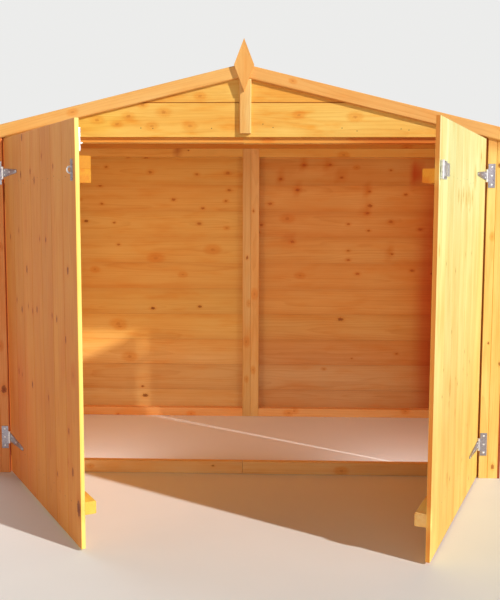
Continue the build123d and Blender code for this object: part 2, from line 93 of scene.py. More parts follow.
# Tints of the stained softwood where it is fresh, and copies with painted sunlight and painted shade
HONEY = srgb(242, 195, 97)
AMBER = srgb(240, 174, 80)
# Painted sunlight: the right door's face, paler and yellower than the left door's
SUNLIT_STRAW = srgb(224, 211, 132)
WALL = srgb(228, 180, 88)
# Painted shade: the left door's face, redder and darker than the right door's
SHADED_TAN = srgb(224, 158, 82)
# Painted sunlight: the left door's edges, its free edge above all
SUNLIT_GOLD = srgb(248, 234, 136)
TRIM = srgb(240, 184, 105)
# Painted sunlight: the right jamb strip and front stud
SUNLIT_PALE = srgb(243, 206, 120)
# Painted shade: the left jamb strip and front stud
SHADED_DUSK = srgb(246, 162, 93)
INSIDE = srgb(224, 176, 90)
# Painted shade: the inside of the back wall's right half, darker and redder than the left half
SHADED_RUDDY = srgb(217, 160, 84)
# Painted light: the sill paler than the rest of the wood, for light thrown up from the ground in front
LIT_SILL = srgb(252, 214, 156)
STUD = srgb(224, 179, 110)
BASE = srgb(243, 178, 108)
STEM = srgb(240, 196, 122)
ORANGE = srgb(222, 152, 12)
# Painted shade: the right door's edges
SHADED_FLAME = srgb(228, 144, 60)
# Painted shade on the boards' edges, most of which stand in gaps between parts
GAP_SHADE = srgb(168, 84, 50)
# Painted shade: the level gable ties under the roof
SHADED_UMBER = srgb(203, 142, 60)
DEEP = (0.48, 0.27, 0.14)      # how much darker the V between the gable's boards is
FAINT = (0.72, 0.62, 0.54)     # and the Vs between the walls' boards
FINE = (0.93, 0.88, 0.84)      # and those between the doors' boards


def stained(tint, spot, blots):
    """A tint with patches on it, of the stain and of painted light and shade, each a place, its reach along
    x, y and z, and a factor.
    """
    for place, reach, factor in blots:
        near = sum(((spot[i] - place[i]) / reach[i]) ** 2 for i in range(3))
        if near < 4:
            share = exp(-1.6 * near * near)
            tint = [min(0.97, c * (1 + (f - 1) * share)) for c, f in zip(tint, factor)]
    return tint


class Piece:
    """Boards that become one object, with what the timber's material reads stored on their corners."""

    def __init__(self):
        self.verts, self.faces, self.grain, self.knot, self.tint = [], [], [], [], []

    def take(self, bm, place, move, knots, tints, pith, blots, mottle, grooved, groove):
        """Adds a board's mesh, which is in the closed frame; place is the board's own frame in it.

        The tints are those of the face, of the edges and of the back."""
        first, local = len(self.verts), place.inverted()
        bm.verts.ensure_lookup_table()
        spots = [local @ v.co for v in bm.verts]
        self.verts += [(move @ v.co) / METRE for v in bm.verts]
        self.grain += [(p + pith) / METRE for p in spots]
        turn = local.to_3x3()
        for face in bm.faces:
            self.faces.append([first + v.index for v in face.verts])
            normal, centre = turn @ face.normal, local @ face.calc_center_median()
            end = 1.0 if abs(normal.x) > 0.7 else mottle / 2
            tint = tints[0] if normal.z > 0.5 else tints[-1] if normal.z < -0.5 else tints[1]
            if 0.3 < normal.z < 0.9 and grooved[centre.y > 0]:
                tint = [c * f for c, f in zip(tint, groove)]
            near = min(knots, key=lambda k: (k[0] - centre.x) ** 2 / 4 + (k[1] - centre.y) ** 2,
                       default=None)
            for vert in face.verts:
                p = spots[vert.index]
                if near:
                    u, v, radius, dark = near
                    self.knot.append(((p.x - u) / METRE, (p.y - v) / METRE, radius / METRE, dark))
                else:
                    self.knot.append((1, 1, 0.001, 0))
                self.tint.append((*stained(tint, vert.co, blots), end))

    def finish(self, name, body, slot, material, nodes):
        mesh = bpy.data.meshes.new(name)
        mesh.from_pydata([tuple(v) for v in self.verts], [], self.faces)
        for key, kind, domain, width, values in (
            ("grain", "FLOAT_VECTOR", "POINT", "vector", self.grain),
            ("knot", "FLOAT_COLOR", "CORNER", "color", self.knot),
            ("tint", "FLOAT_COLOR", "CORNER", "color", self.tint),
        ):
            layer = mesh.attributes.new(key, kind, domain)
            layer.data.foreach_set(width, [c for value in values for c in value])
        mesh.update()
        return dress(mesh, name, body, material, nodes)


def dress(mesh, name, body, material, nodes=()):
    """Makes a finished mesh an object that rides on its body and stands for its nodes."""
    obj = bpy.data.objects.new(name, mesh)
    bpy.context.scene.collection.objects.link(obj)
    mesh.materials.append(material)
    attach(obj, body)
    if nodes:
        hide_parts(*nodes)
    return obj


def section(width, thick, front, joints):
    """Outline of a board's end: v across it and w out of its face, with its joints' edges."""
    half, rims = width / 2, []
    for side, joint in zip((-1, 1), joints):
        ease = VEE if joint else front
        rim = [(side * (half - ease), 0.0), (side * half, -ease)]
        if joint:
            inner, low = side * (half - SEAM), SEAM_DEPTH - thick
            rim += [(side * half, low), (inner, low), (inner, -thick)]
        else:
            rim += [(side * half, BACK_EASE - thick), (side * (half - BACK_EASE), -thick)]
        rims.append(rim)
    low, high = rims
    count = max(1, round(width / CELL))
    face = [(v, 0.0) for v in spread(low[0][0], high[0][0], count)]
    back = [(v, -thick) for v in spread(high[-1][0], low[-1][0], count)]
    return face + high[1:-1] + back + low[-2:0:-1]


def skin(bm, rings):
    """Joins rings of vertices to a closed body and gives its two ends."""
    count = len(rings[0])
    for a, b in zip(rings, rings[1:]):
        for i in range(count):
            bm.faces.new((a[i], a[(i + 1) % count], b[(i + 1) % count], b[i]))
    return [bm.faces.new(rings[0]), bm.faces.new(rings[-1])]


def loft(outline, length, end, seed):
    """A board along u with that outline, eased ends and a slight natural waviness."""
    bm = bmesh.new()
    vs, ws = [p[0] for p in outline], [p[1] for p in outline]
    mid_v, mid_w = (min(vs) + max(vs)) / 2, (min(ws) + max(ws)) / 2
    keep_v, keep_w = 1 - 2 * end / (max(vs) - min(vs)), 1 - 2 * end / (max(ws) - min(ws))
    stations = [0.0] + spread(end, length - end, max(2, round(length / CELL))) + [length]
    rings = []
    for number, u in enumerate(stations):
        inset = number in (0, len(stations) - 1)
        kv, kw = (keep_v, keep_w) if inset else (1, 1)
        shift = -WAVE * abs(noise.noise(Vector((u / 260, seed, 0.5))))
        rings.append([bm.verts.new((u, mid_v + (v - mid_v) * kv, mid_w + (w - mid_w) * kw + shift))
                      for v, w in outline])
    skin(bm, rings)
    return bm


def cut(bm, planes):
    """Takes off what lies beyond each plane, given as a point on it and its outward normal."""
    for point, normal in planes:
        everything = bm.verts[:] + bm.edges[:] + bm.faces[:]
        made = bmesh.ops.bisect_plane(
            bm, geom=everything, plane_co=point, plane_no=normal, clear_outer=True)
        rim = [e for e in made["geom_cut"] if isinstance(e, bmesh.types.BMEdge)]
        if rim:
            bmesh.ops.edgeloop_fill(bm, edges=rim)


def wild_knots(length, width, share):
    """Knots where a board might have them: places in its own frame, radius and darkness."""
    found, u = [], rng.uniform(20, 260)
    while u < length:
        for _ in range(rng.choice((1, 1, 2))):
            if rng.random() < share:
                v = rng.uniform(-0.44, 0.44) * width
                place = u + rng.uniform(-25, 25)
                found.append((place, v, rng.uniform(2.5, min(8.0, width / 7)), rng.random() ** 2))
        u += rng.uniform(150, 420)
    return found


def vary(tint, spread=0.07):
    """A tint that differs a little from board to board, in lightness and in warmth."""
    light, warm = 1 + rng.uniform(-spread, spread * 0.6), rng.uniform(-0.8, 1) * spread
    green, blue = tint.y * light * (1 - warm), tint.z * light * (1 - 1.8 * warm)
    return Vector((min(0.97, tint.x * light), green, blue))


def framed(along, across, out, at=(0, 0, 0)):
    """A frame with those axes and that origin."""
    place = Matrix((along, across, out)).transposed().to_4x4()
    place.translation = at
    return place


def board(piece, place, size, move=Matrix(), front=1.0, joints=(False, False), planes=(), marks=(),
          knots=0.6, tints=HONEY, end=0.7, blots=(), mottle=0.35, groove=FAINT):
    """One board of that length, width and thickness; place has u along it, v across and w out of its face.

    It has one tint, or those of its face, edges and back."""
    length, width, thick = size
    bm = loft(section(width, thick, front, joints), length, end, rng.uniform(0, 99))
    bm.transform(place)
    cut(bm, planes)
    bmesh.ops.recalc_face_normals(bm, faces=bm.faces)
    bm.verts.index_update()
    bm.normal_update()
    local, here = place.inverted(), []
    for spot, radius, dark in marks:
        p = local @ Vector(spot)
        if -10 < p.x < length + 10 and abs(p.y) < width / 2 + 1:
            here.append((p.x, p.y, radius, dark))
    wild = [k for k in wild_knots(length, width, knots) if all(abs(k[0] - m[0]) > 60 for m in here)]
    pith = Vector((rng.uniform(0, 40000), rng.uniform(-55, 55), rng.choice((-1, 1)) * rng.uniform(18, 95)))
    shade = vary(Vector((0.9, 0.9, 0.9)))
    tints = tints if isinstance(tints, tuple) else (tints, tints)
    tints = [Vector([min(0.97, c * s / 0.9) for c, s in zip(t, shade)]) for t in tints]
    piece.take(bm, place, move, here + wild, tints, pith, blots, mottle, joints, groove)
    bm.free()


def timber(piece, low, high, along, out, **settings):
    """A board between two corners, its grain along one axis and its face towards another, such as -y."""
    a, o = AXIS[along], AXIS[out[-1]] * (-1 if out[0] == "-" else 1)
    corners = [Vector([f(pair) for pair in zip(low, high)]) for f in (min, max)]
    middle, size = (corners[0] + corners[1]) / 2, corners[1] - corners[0]
    across = o.cross(a)
    length, width, thick = (abs(size.dot(axis)) for axis in (a, across, o))
    place = framed(a, across, o, middle - a * length / 2 + o * thick / 2)
    board(piece, place, (length, width, thick), **settings)


def bar(piece, side, xs, ys, zs, along, out, **settings):
    """A timber on one side: its reach along x from the middle outwards, along y and along z.

    It faces along an axis, or "in" towards the middle, or "away" from it."""
    facing = {"in": -side, "away": side}.get(out)
    if facing:
        out = "x" if facing > 0 else "-x"
    timber(piece, (side * xs[0], ys[0], zs[0]), (side * xs[1], ys[1], zs[1]), along, out, **settings)


def level_boards(piece, low, high, along, out, **settings):
    """A wall of level boards between two corners."""
    edges = [BOARD * row for row in range(1, 13) if low[2] < BOARD * row < high[2]]
    cap = [low[2]] + edges + [high[2]]
    flip = (AXIS[out[-1]] * (-1 if out[0] == "-" else 1)).cross(AXIS[along]).z < 0
    for z0, z1 in zip(cap, cap[1:]):
        joints = (z0 != low[2], z1 != high[2])
        timber(piece, (low[0], low[1], z0), (high[0], high[1], z1), along, out,
               joints=joints[::-1] if flip else joints, **settings)


def beyond(axis, at, side):
    """A plane across an axis; what lies beyond it on that side goes."""
    return AXIS[axis] * at, AXIS[axis] * side


def roof_plane(side, drop, flip=1):
    """The plane that lies drop below the roof's top on one slope; what is above it goes."""
    return Vector((0, 0, roof_z(0, drop))), Vector((side * SLOPE, 0, 1)) * flip


UNDER_ROOF = [roof_plane(side, UNDER) for side in SIDES]
UNDER_VERGE = [roof_plane(side, VERGE_W) for side in SIDES]


# Materials
class Value:
    """A number in a material; arithmetic with it makes the nodes that work it out."""

    def __init__(self, graph, socket):
        self.graph, self.socket = graph, socket

    def __add__(self, other):
        return self.graph.math("ADD", self, other)

    def __sub__(self, other):
        return self.graph.math("SUBTRACT", self, other)

    def __rsub__(self, other):
        return self.graph.math("SUBTRACT", other, self)

    def __mul__(self, other):
        return self.graph.math("MULTIPLY", self, other)

    def __truediv__(self, other):
        return self.graph.math("DIVIDE", self, other)


class Graph:
    """The nodes of a material or of the world, made in short calls."""

    def __init__(self, owner):
        owner.use_nodes = True
        self.owner, self.tree = owner, owner.node_tree
        self.tree.nodes.clear()

    def add(self, kind, inputs=(), **settings):
        node = self.tree.nodes.new("ShaderNode" + kind)
        for key, value in settings.items():
            setattr(node, key, value)
        for key, value in inputs.items() if isinstance(inputs, dict) else enumerate(inputs):
            value = value.socket if isinstance(value, Value) else value
            if isinstance(value, bpy.types.NodeSocket):
                self.tree.links.new(value, node.inputs[key])
            else:
                node.inputs[key].default_value = value
        return node

    def math(self, operation, *values):
        return Value(self, self.add("Math", values, operation=operation).outputs[0])

    def parts(self, vector):
        """The three numbers of a vector or a colour."""
        return [Value(self, part) for part in self.add("SeparateXYZ", (vector,)).outputs]

    def noise(self, at, scale, detail=2.0, rough=0.5):
        """Noise at one scale, or at a scale for each axis."""
        if isinstance(scale, tuple):
            at, scale = self.add("VectorMath", (at, scale), operation="MULTIPLY").outputs[0], 1.0
        node = self.add("TexNoise", {"Vector": at, "Scale": scale, "Detail": detail, "Roughness": rough})
        return Value(self, node.outputs[0])

    def span(self, value, low, high, new_low=0.0, new_high=1.0):
        """Maps low..high to the new range with soft ends."""
        ends = (value, low, high, new_low, new_high)
        return Value(self, self.add("MapRange", ends, interpolation_type="SMOOTHSTEP").outputs[0])

    def mix(self, share, first, second, blend="MIX"):
        first, second = [(*c, 1) if isinstance(c, tuple) else c for c in (first, second)]
        node = self.add("Mix", {0: share, 6: first, 7: second}, data_type="RGBA", blend_type=blend)
        return node.outputs[2]

    def times(self, colour, factor):
        return self.mix(1.0, colour, factor, "MULTIPLY")

    def stain(self, share, colour, factor):
        """A colour that is partly changed by a factor."""
        return self.mix(share, colour, self.times(colour, factor))

    def steps(self, value, points):
        """Piecewise linear values at the given places from 0 to 1."""
        node = self.add("ValToRGB", (value,))
        ramp = node.color_ramp
        while len(ramp.elements) < len(points):
            ramp.elements.new(0.5)
        for element, (place, level) in zip(ramp.elements, points):
            element.position = place
            element.color = (level, level, level, 1)
        return Value(self, node.outputs[0])

    def surface(self, height, strength, distance, **inputs):
        bump = self.add("Bump", {"Height": height, "Strength": strength, "Distance": distance}).outputs[0]
        names = {key.replace("_", " "): value for key, value in inputs.items()}
        shader = self.add("BsdfPrincipled", {"Normal": bump, **names})
        self.add("OutputMaterial", (shader.outputs[0],))
        return self.owner


def material(name):
    """A new material's graph and the place on the object."""
    g = Graph(bpy.data.materials.new(name))
    return g, g.add("TexCoord").outputs["Object"]


def softwood():
    """Stained softwood: rings and fibres along each board, and knots that the grain flows round."""
    g = Graph(bpy.data.materials.new("stained_softwood"))
    grain, shade, knot = [g.add("Attribute", attribute_name=name).outputs
                          for name in ("grain", "tint", "knot")]
    grain, tint = grain["Vector"], shade["Color"]
    alpha, dark = Value(g, shade["Alpha"]), Value(g, knot["Alpha"])
    end, mottle = g.span(alpha, 0.6, 0.9), g.math("MINIMUM", alpha, 0.5) * 2.0
    knot_u, knot_v, radius = g.parts(knot["Vector"])

    def reach(stretch):
        """Distance from the knot's centre in its radii, drawn out along the grain."""
        along = knot_u * stretch
        return g.math("SQRT", along * along + knot_v * knot_v) / radius

    def drawn(along, across, detail=2.0):
        """Noise that is drawn out along the grain."""
        return g.noise(grain, (along, across, across), detail)

    near, flow = reach(0.62) + (g.noise(grain, 190, 3) - 0.5) * 1.5, reach(0.32)
    bend = g.math("POWER", 2.718, flow * flow * -0.16)
    _, v, w = g.parts(grain)
    v = v - knot_v * bend * 0.8
    pith = g.math("SQRT", v * v + w * w)
    pith = pith + ((drawn(0.9, 5) - 0.5) * 0.05 + (drawn(6, 34) - 0.5) * 0.004)
    ring = g.math("FRACT", pith / 0.0046)
    late = g.steps(ring, ((0.0, 0.0), (0.45, 0.12), (0.8, 0.75), (0.93, 1.0), (1.0, 0.0)))
    fibre, streak, cloud, patch = drawn(14, 1500), drawn(1.6, 130, 3), drawn(2.6, 12, 3), drawn(5.5, 24, 3)
    line = g.span(drawn(2.6, 420), 0.56, 0.78)
    depth = late * 0.34 + (fibre - 0.5) * 0.35 + (streak - 0.5) * 0.9 + line * 0.5
    colour = g.mix(g.math("MAXIMUM", depth, 0.0), tint, g.times(tint, (0.82, 0.63, 0.42)))
    colour = g.stain(g.span(cloud, 0.42, 0.72, 0, 0.55), colour, (0.95, 0.76, 0.52))
    colour = g.stain(g.span(cloud, 0.50, 0.28, 0, 0.55), colour, (1.03, 1.10, 1.22))
    colour = g.stain(g.span(patch, 0.50, 0.72) * mottle, colour, (0.96, 0.70, 0.34))
    colour = g.stain(g.span(patch, 0.48, 0.30) * mottle, colour, (1.02, 1.09, 1.25))
    soft = g.span(dark, 0.36, 0.12)
    colour = g.stain(g.span(near - soft * 1.6, 3.0, 0.4, 0.0, 0.75), colour, (0.93, 0.70, 0.42))
    dead = g.times(tint, (0.28, 0.12, 0.07))
    live = g.times(tint, (0.74, 0.42, 0.20)), g.times(tint, (0.55, 0.27, 0.12))
    live = g.mix(g.math("PINGPONG", near, 0.17) * 4, *live)
    heart = g.mix(g.span(dark, 0.35, 1.0), live, dead)
    colour = g.mix(g.span(near, 1.2, 0.5) * (1.0 - soft * 0.5), colour, heart)
    rim = g.span(g.math("ABSOLUTE", near - 1.0), 0.28, 0.0) * g.span(dark, 0.3, 0.9)
    colour = g.stain(end * 0.45, g.mix(rim * 0.8, colour, dead), (0.66, 0.52, 0.40))
    height = late * 0.45 + fibre * 0.5 - rim * 0.8
    return g.surface(height, 0.5, 0.0004, Base_Color=colour, Roughness=fibre * 0.22 + 0.44,
                     Specular_IOR_Level=0.35)


def zinc(name, low, high, rough):
    """Zinc plate from its duller to its brighter spangles, with fine scratches and brown spots."""
    g, at = material(name)
    spangle = g.add("TexVoronoi", {"Vector": at, "Scale": 420.0}).outputs["Color"]
    cloud, scratch = g.noise(at, 60, 4, 0.6), g.noise(at, (300, 300, 2600))
    shade = g.mix(g.parts(spangle)[0], low, high)
    shade = g.stain(g.span(cloud, 0.50, 0.72, 0, 0.5), shade, (0.66, 0.64, 0.66))
    shade = g.mix(g.span(g.noise(at, 140, 3), 0.64, 0.78, 0, 0.7), shade, (0.30, 0.20, 0.13))
    return g.surface(scratch * 0.4 + cloud * 0.6, 0.3, 0.0004, Base_Color=shade,
                     Roughness=cloud * 0.16 + scratch * 0.10 + rough, Metallic=1.0)


def felt():
    """Mineral roof felt: coloured grit pressed into bitumen."""
    g, at = material("mineral_felt")
    cells = g.add("TexVoronoi", {"Vector": at, "Scale": 900.0}).outputs
    grit = g.parts(cells["Color"])
    shade = g.mix(grit[0], (0.055, 0.07, 0.06), (0.16, 0.18, 0.16))
    shade = g.mix(g.span(grit[1], 0.82, 0.9), shade, (0.30, 0.32, 0.29))
    shade = g.mix(g.span(g.noise(at, 7, 4, 0.6), 0.4, 0.75, 0, 0.5), shade, (0.10, 0.115, 0.095))
    height = Value(g, cells["Distance"]) * -1.0 + g.noise(at, 200)
    return g.surface(height, 0.8, 0.0006, Base_Color=shade, Roughness=0.92, Specular_IOR_Level=0.2)


def dull():
    """Dark nail heads and blackened screws."""
    g, at = material("dull_steel")
    shade = g.mix(g.span(g.noise(at, 500), 0.4, 0.7), (0.05, 0.035, 0.03), (0.13, 0.09, 0.075))
    return g.surface(g.noise(at, 900), 0.4, 0.0002, Base_Color=shade, Roughness=0.5, Metallic=0.7)


WOOD, FELT, DULL = softwood(), felt(), dull()
# Two copies of the zinc: a darker one for the plates, with painted shade and dark reflections in it, and a
# brighter one for knuckles, screws and fittings, with painted highlights in it
SHADED_ZINC = zinc("shaded_zinc", (0.36, 0.34, 0.40), (0.50, 0.48, 0.55), 0.16)
ZINC = zinc("bright_zinc", (0.88, 0.90, 0.94), (0.95, 0.96, 0.97), 0.24)

# Marks on the boards: x and z, or the distance from the door's pin or free edge and z
LEFT_DOOR_KNOTS = [
    (245, 1093), (372, 1100), (420, 1070), (515, 1142), (640, 1105), (75, 880), (473, 885), (545, 885),
    (200, 905), (300, 778), (775, 805), (310, 655), (220, 635), (365, 645), (420, 655), (600, 655),
    (650, 650), (150, 662), (740, 600), (155, 410), (200, 405), (340, 395), (540, 388), (755, 330),
    (270, 1215), (625, 165)]
RIGHT_DOOR_KNOTS = [
    (290, 800), (250, 622), (135, 527), (120, 452), (345, 465), (380, 442), (505, 525), (485, 470),
    (610, 475), (575, 435), (590, 838), (470, 840), (285, 165), (510, 165), (600, 260), (245, 435),
    (245, 190), (135, 830)]
RIGHT_DOOR_SCUFFS = [
    (310, 1022), (366, 1008), (395, 1026), (452, 1014), (500, 1028), (522, 1006), (575, 1020), (245, 420),
    (248, 455), (245, 185)]
GABLE_KNOTS = [
    (-325, 1274), (-283, 1323), (-409, 1309), (-451, 1281), (-189, 1274), (397, 1306), (199, 1313),
    (-357, 1348), (-522, 1295), (-153, 1379)]
GABLE_NAILS = [
    (-322, 1266), (-365, 1267), (-112, 1266), (71, 1281), (107, 1269), (352, 1267), (405, 1257),
    (560, 1264), (588, 1260)]
BACK_KNOTS = [
    (-492, 1218), (-577, 1221), (-473, 1149), (-680, 1173), (-710, 1087), (-703, 1002), (-645, 914),
    (-626, 811), (-364, 1022), (-227, 982), (-103, 1067), (-110, 1145), (-255, 1140), (-118, 1016),
    (-244, 910), (-21, 1104), (-341, 1240), (246, 1183), (367, 1184), (138, 1118), (420, 1126),
    (216, 1068), (551, 1061), (718, 1048), (647, 1160), (554, 996), (543, 961), (549, 880), (651, 922),
    (454, 910), (88, 1004), (48, 905), (36, 870), (789, 887), (456, 786), (456, 743), (660, 771),
    (500, 678), (755, 694), (194, 827)]


def spots(places, y, radius, dark):
    """Marks at x and z on the plane y, each a little different."""
    return [((x, y, z), radius * rng.uniform(0.8, 1.3), min(1.0, dark * rng.uniform(0.6, 1.2)))
            for x, z in places]


def wood(piece, name, slot, *nodes, body="shelter"):
    return piece.finish(name, body, slot, WOOD, nodes)


# Front frame
FRAME = (FRAME_Y, FRAME_BACK_Y)
BACK_FRAME = (INNER_Y, BACK_FRAME_Y)
BAY = (STILE_X, CLAD_X)
POST = (POST_X, STILE_X)
sill = Piece()
for side in SIDES:
    bar(sill, side, (0.5, POST_X), (FRAME_Y, SILL_BACK_Y), (0, SILL_H), "x", "-y", front=2.0, tints=LIT_SILL,
        knots=0.5, marks=[((-570, FRAME_Y, 23), 3.0, 0.1)])
wood(sill, "sill_lengths", "framing", "sill")

lintel = Piece()
for side in SIDES:
    low = LINTEL_Z + (2 if side == LEFT else 0)
    # Its blots paint sunlight along the lower edge and a shadow over the right half
    bar(lintel, side, (0, POST_X), FRAME, (low, LINTEL_TOP_Z), "x", "-y", front=2.0, tints=AMBER,
        blots=[((-250, FRAME_Y, low), (700, 999, 1.6), (1.12, 2.0, 4.5)),
               ((640, FRAME_Y, low), (330, 999, 999), (0.80, 0.50, 0.30))])
wood(lintel, "lintel_lengths", "framing", "lintel_left", "lintel_right")

# Painted shadow of the bargeboards on the tops of the jamb strips and front studs
TOP_SHADOWS = [((900, DOOR_Y, 1240), (90, 90, 62), (0.80, 0.52, 0.36)),
        ((-900, DOOR_Y, 1240), (90, 90, 50), (0.9, 0.75, 0.6))]
posts, strips, studs = Piece(), Piece(), Piece()
stud_y = DOOR_Y + BATTEN
middle = (stud_y + INNER_Y) / 2
rail_z = roof_z(CLAD_X, UNDER) - BATTEN
for side in SIDES:
    # The blot paints shade down the left post's front inner edge, in the gap by the hinge
    bar(posts, side, POST, FRAME, (0, APEX_Z), "z", "-y", planes=UNDER_ROOF, tints=AMBER,
        blots=[((-POST_X, FRAME_Y, 600), (9, 12, 900), (0.62, 0.40, 0.35))])
    # The right side's strip and stud get painted sunlight, the left side's painted shade
    tint = SUNLIT_PALE if side == RIGHT else SHADED_DUSK
    bar(strips, side, (STRIP_X, STILE_X), (DOOR_Y, FRAME_Y), (0, INFILL_Z), "z", "-y", front=2.0,
        planes=UNDER_VERGE, tints=(tint, GAP_SHADE, tint), blots=TOP_SHADOWS, marks=[((-882, DOOR_Y, 314), 8.0, 0.8)])
    bar(studs, side, BAY, (DOOR_Y, stud_y), (0, INFILL_Z), "z", "-y", front=2.0,
        planes=UNDER_VERGE, tints=tint, blots=TOP_SHADOWS)
    bar(studs, side, BAY, (middle - HALF, middle + HALF), (BATTEN, rail_z), "z", "in")
    bar(studs, side, BAY, BACK_FRAME, (0, APEX_Z), "z", "-y", planes=UNDER_ROOF)
wood(posts, "doorway_posts", "framing", "front_post_left", "front_post_right")
wood(strips, "hinge_strips", "framing", "jamb_strip_left", "jamb_strip_right")
wood(studs, "side_uprights", "framing", "side_studs")

rails = Piece()
for side in SIDES:
    bar(rails, side, BAY, (stud_y, INNER_Y), (0, BATTEN), "y", "in", tints=AMBER)
    bar(rails, side, BAY, (stud_y, INNER_Y), (rail_z, APEX_Z), "y", "in", planes=UNDER_ROOF, tints=AMBER)
wood(rails, "side_bars", "framing", "side_rails")

# Gable and walls
gable = Piece()
marks = spots(GABLE_KNOTS, INFILL_Y, 5.0, 0.19)
joint_z = INFILL_Z + BOARD
for z0, z1, joints in ((INFILL_Z, joint_z, (False, True)), (joint_z, APEX_Z, (True, False))):
    timber(gable, (-WALL_X, INFILL_Y, z0), (WALL_X, FRAME_Y, z1), "x", "-y", joints=joints,
           planes=UNDER_ROOF, marks=marks, knots=0.1, mottle=1.0, groove=DEEP,
           blots=[((270, INFILL_Y, 1400), (280, 99, 60), (1.0, 0.84, 0.62)),
                  ((-560, INFILL_Y, 1290), (170, 99, 60), (0.98, 0.94, 0.66))])
wood(gable, "gable_cladding", "boards", "gable_board_lower", "gable_board_upper")

WALL_TOP, BACK_TOP = 1300, 1500   # above the roof's underside, which cuts them off
for side in SIDES:
    wall, name = Piece(), NAME[side]
    for z0, z1, y0 in ((0, INFILL_Z, DOOR_Y), (INFILL_Z, WALL_TOP, FRAME_Y)):
        level_boards(wall, (side * CLAD_X, y0, z0), (side * WALL_X, BACK_FRAME_Y, z1), "y",
                     "x" if side > 0 else "-x", planes=UNDER_ROOF, tints=(WALL, GAP_SHADE, AMBER))
    wood(wall, "side_cladding_" + name, "boards", "side_wall_" + name)

# Patches on the back wall: painted shade and shadows at its right end, knot and branch marks, painted
# highlights, and darker lines along the joints
BACK_MARKS_AND_PAINTED_LIGHT = [
    # Painted shadow in the back's right corner
    ((870, BACK_FRAME_Y, 480), (104, 99, 760), (0.74, 0.33, 0.22)),
    # Painted shade over the back's right end
    ((900, BACK_FRAME_Y, 700), (240, 99, 1400), (0.95, 0.82, 0.7)),
    # Painted shadow of the right door's upper ledge
    ((766, BACK_FRAME_Y, 1146), (24, 99, 72), (0.80, 0.26, 0.12))]
for places, reach, factor in (
    # Knot and branch marks
    ([(141, 1124), (241, 1188), (359, 1183), (418, 1133), (177, 842), (209, 1070), (539, 1065), (530, 975),
      (641, 783)], (20, 99, 36), (0.90, 0.66, 0.40)),
    # Painted highlights, as pale streaks
    ([(110, 1040), (460, 918), (300, 1150), (-420, 1130)], (90, 99, 13), (1.10, 1.22, 1.45)),
    # Darker along each board joint
    ([(0, BOARD * row) for row in range(1, 11)], (2400, 99, 5), (0.96, 0.90, 0.83)),
):
    BACK_MARKS_AND_PAINTED_LIGHT += [((x, BACK_FRAME_Y, z), reach, factor) for x, z in places]
back = Piece()
marks = spots(BACK_KNOTS, INNER_Y, 5.0, 0.45)
for side, tint in ((LEFT, INSIDE), (RIGHT, SHADED_RUDDY)):
    level_boards(back, (0, BACK_FRAME_Y, 0), (side * WALL_X, BACK_Y, BACK_TOP), "x", "y",
                 planes=UNDER_ROOF, marks=marks, knots=0.3, tints=(HONEY, GAP_SHADE, tint),
                 blots=BACK_MARKS_AND_PAINTED_LIGHT + [((side * 300, BACK_FRAME_Y, 60), (900, 99, 330), (0.97, 1.03, 1.6))])
wood(back, "back_cladding", "boards", "back_wall_left", "back_wall_right")

framing = Piece()
for side in SIDES:
    bar(framing, side, POST, BACK_FRAME, (0, APEX_Z), "z", "-y", planes=UNDER_ROOF)
    bar(framing, side, (0.2, BATTEN), BACK_FRAME, (0, BACK_TOP_Z), "z", "-y", tints=STUD)
wood(framing, "back_uprights", "framing", "back_studs")
framing = Piece()
for side in SIDES:
    for low, tint in ((0, BASE), (BACK_TOP_Z - BATTEN, INSIDE)):
        bar(framing, side, (BATTEN, POST_X), BACK_FRAME, (low, low + BATTEN), "x", "-y", tints=tint,
            blots=[((-335, INNER_Y, 1240), (24, 99, 24), (0.5, 0.2, 0.12))])
wood(framing, "back_bars", "framing", "back_rails")
COVER_X, COVER_T = 22.5, 9
strip = Piece()
timber(strip, (-COVER_X, BACK_Y, 0), (COVER_X, BACK_Y + COVER_T, roof_z(COVER_X, VERGE_W)), "z", "y",
       front=2.0)
wood(strip, "back_joint_cover", "boards", "back_cover_strip")


# Roof
def sloping(side, top, width, y_face, out):
    """A frame for a board down one slope: how far its top edge is below the roof's, and its face's y."""
    along = Vector((side * cos(PITCH), 0, -sin(PITCH)))
    down = Vector((-side * sin(PITCH), 0, -cos(PITCH)))
    out = Vector((0, out, 0))
    start = 30                 # past the ridge, where a plane cuts it
    return framed(along, out.cross(along), out,
                  Vector((0, y_face, APEX_Z)) + down * (top + width / 2) - along * start)


for where, y_face, out in (("front", VERGE_Y, -1), ("back", BACK_Y + VERGE_T, 1)):
    for side in SIDES:
        verge, name = Piece(), "_%s_%s" % (where, NAME[side])
        board(verge, sloping(side, 0, VERGE_W, y_face, out), (OVERLONG, VERGE_W, VERGE_T), front=3.0,
              planes=[beyond("x", 0, -side), beyond("x", side * (ROOF_HALF + FELT_T), side)], tints=TRIM,
              knots=0.15, marks=[((-607, y_face, 1321), 4.0, 0.12)])
        wood(verge, "verge_board" + name, "trim_timber", "bargeboard" + name)

deck = Piece()
for side in SIDES:
    along = Vector((side * cos(PITCH), 0, -sin(PITCH)))
    out = Vector((side * sin(PITCH), 0, cos(PITCH)))
    across = out.cross(along)
    y0 = INFILL_Y
    while y0 < BACK_Y - 1:
        y1 = min(y0 + BOARD, BACK_Y)
        place = framed(along, across, out, Vector((0, (y0 + y1) / 2, roof_z(0, FELT_T))) - along * 20)
        joints = (y0 > INFILL_Y, y1 < BACK_Y)
        board(deck, place, (OVERLONG, y1 - y0, DECK_T), joints=joints if across.y > 0 else joints[::-1],
              planes=[beyond("x", 0, -side), beyond("x", side * ROOF_HALF, side)], tints=AMBER)
        y0 = y1
wood(deck, "roof_boards", "boards", "roof_deck_left", "roof_deck_right")

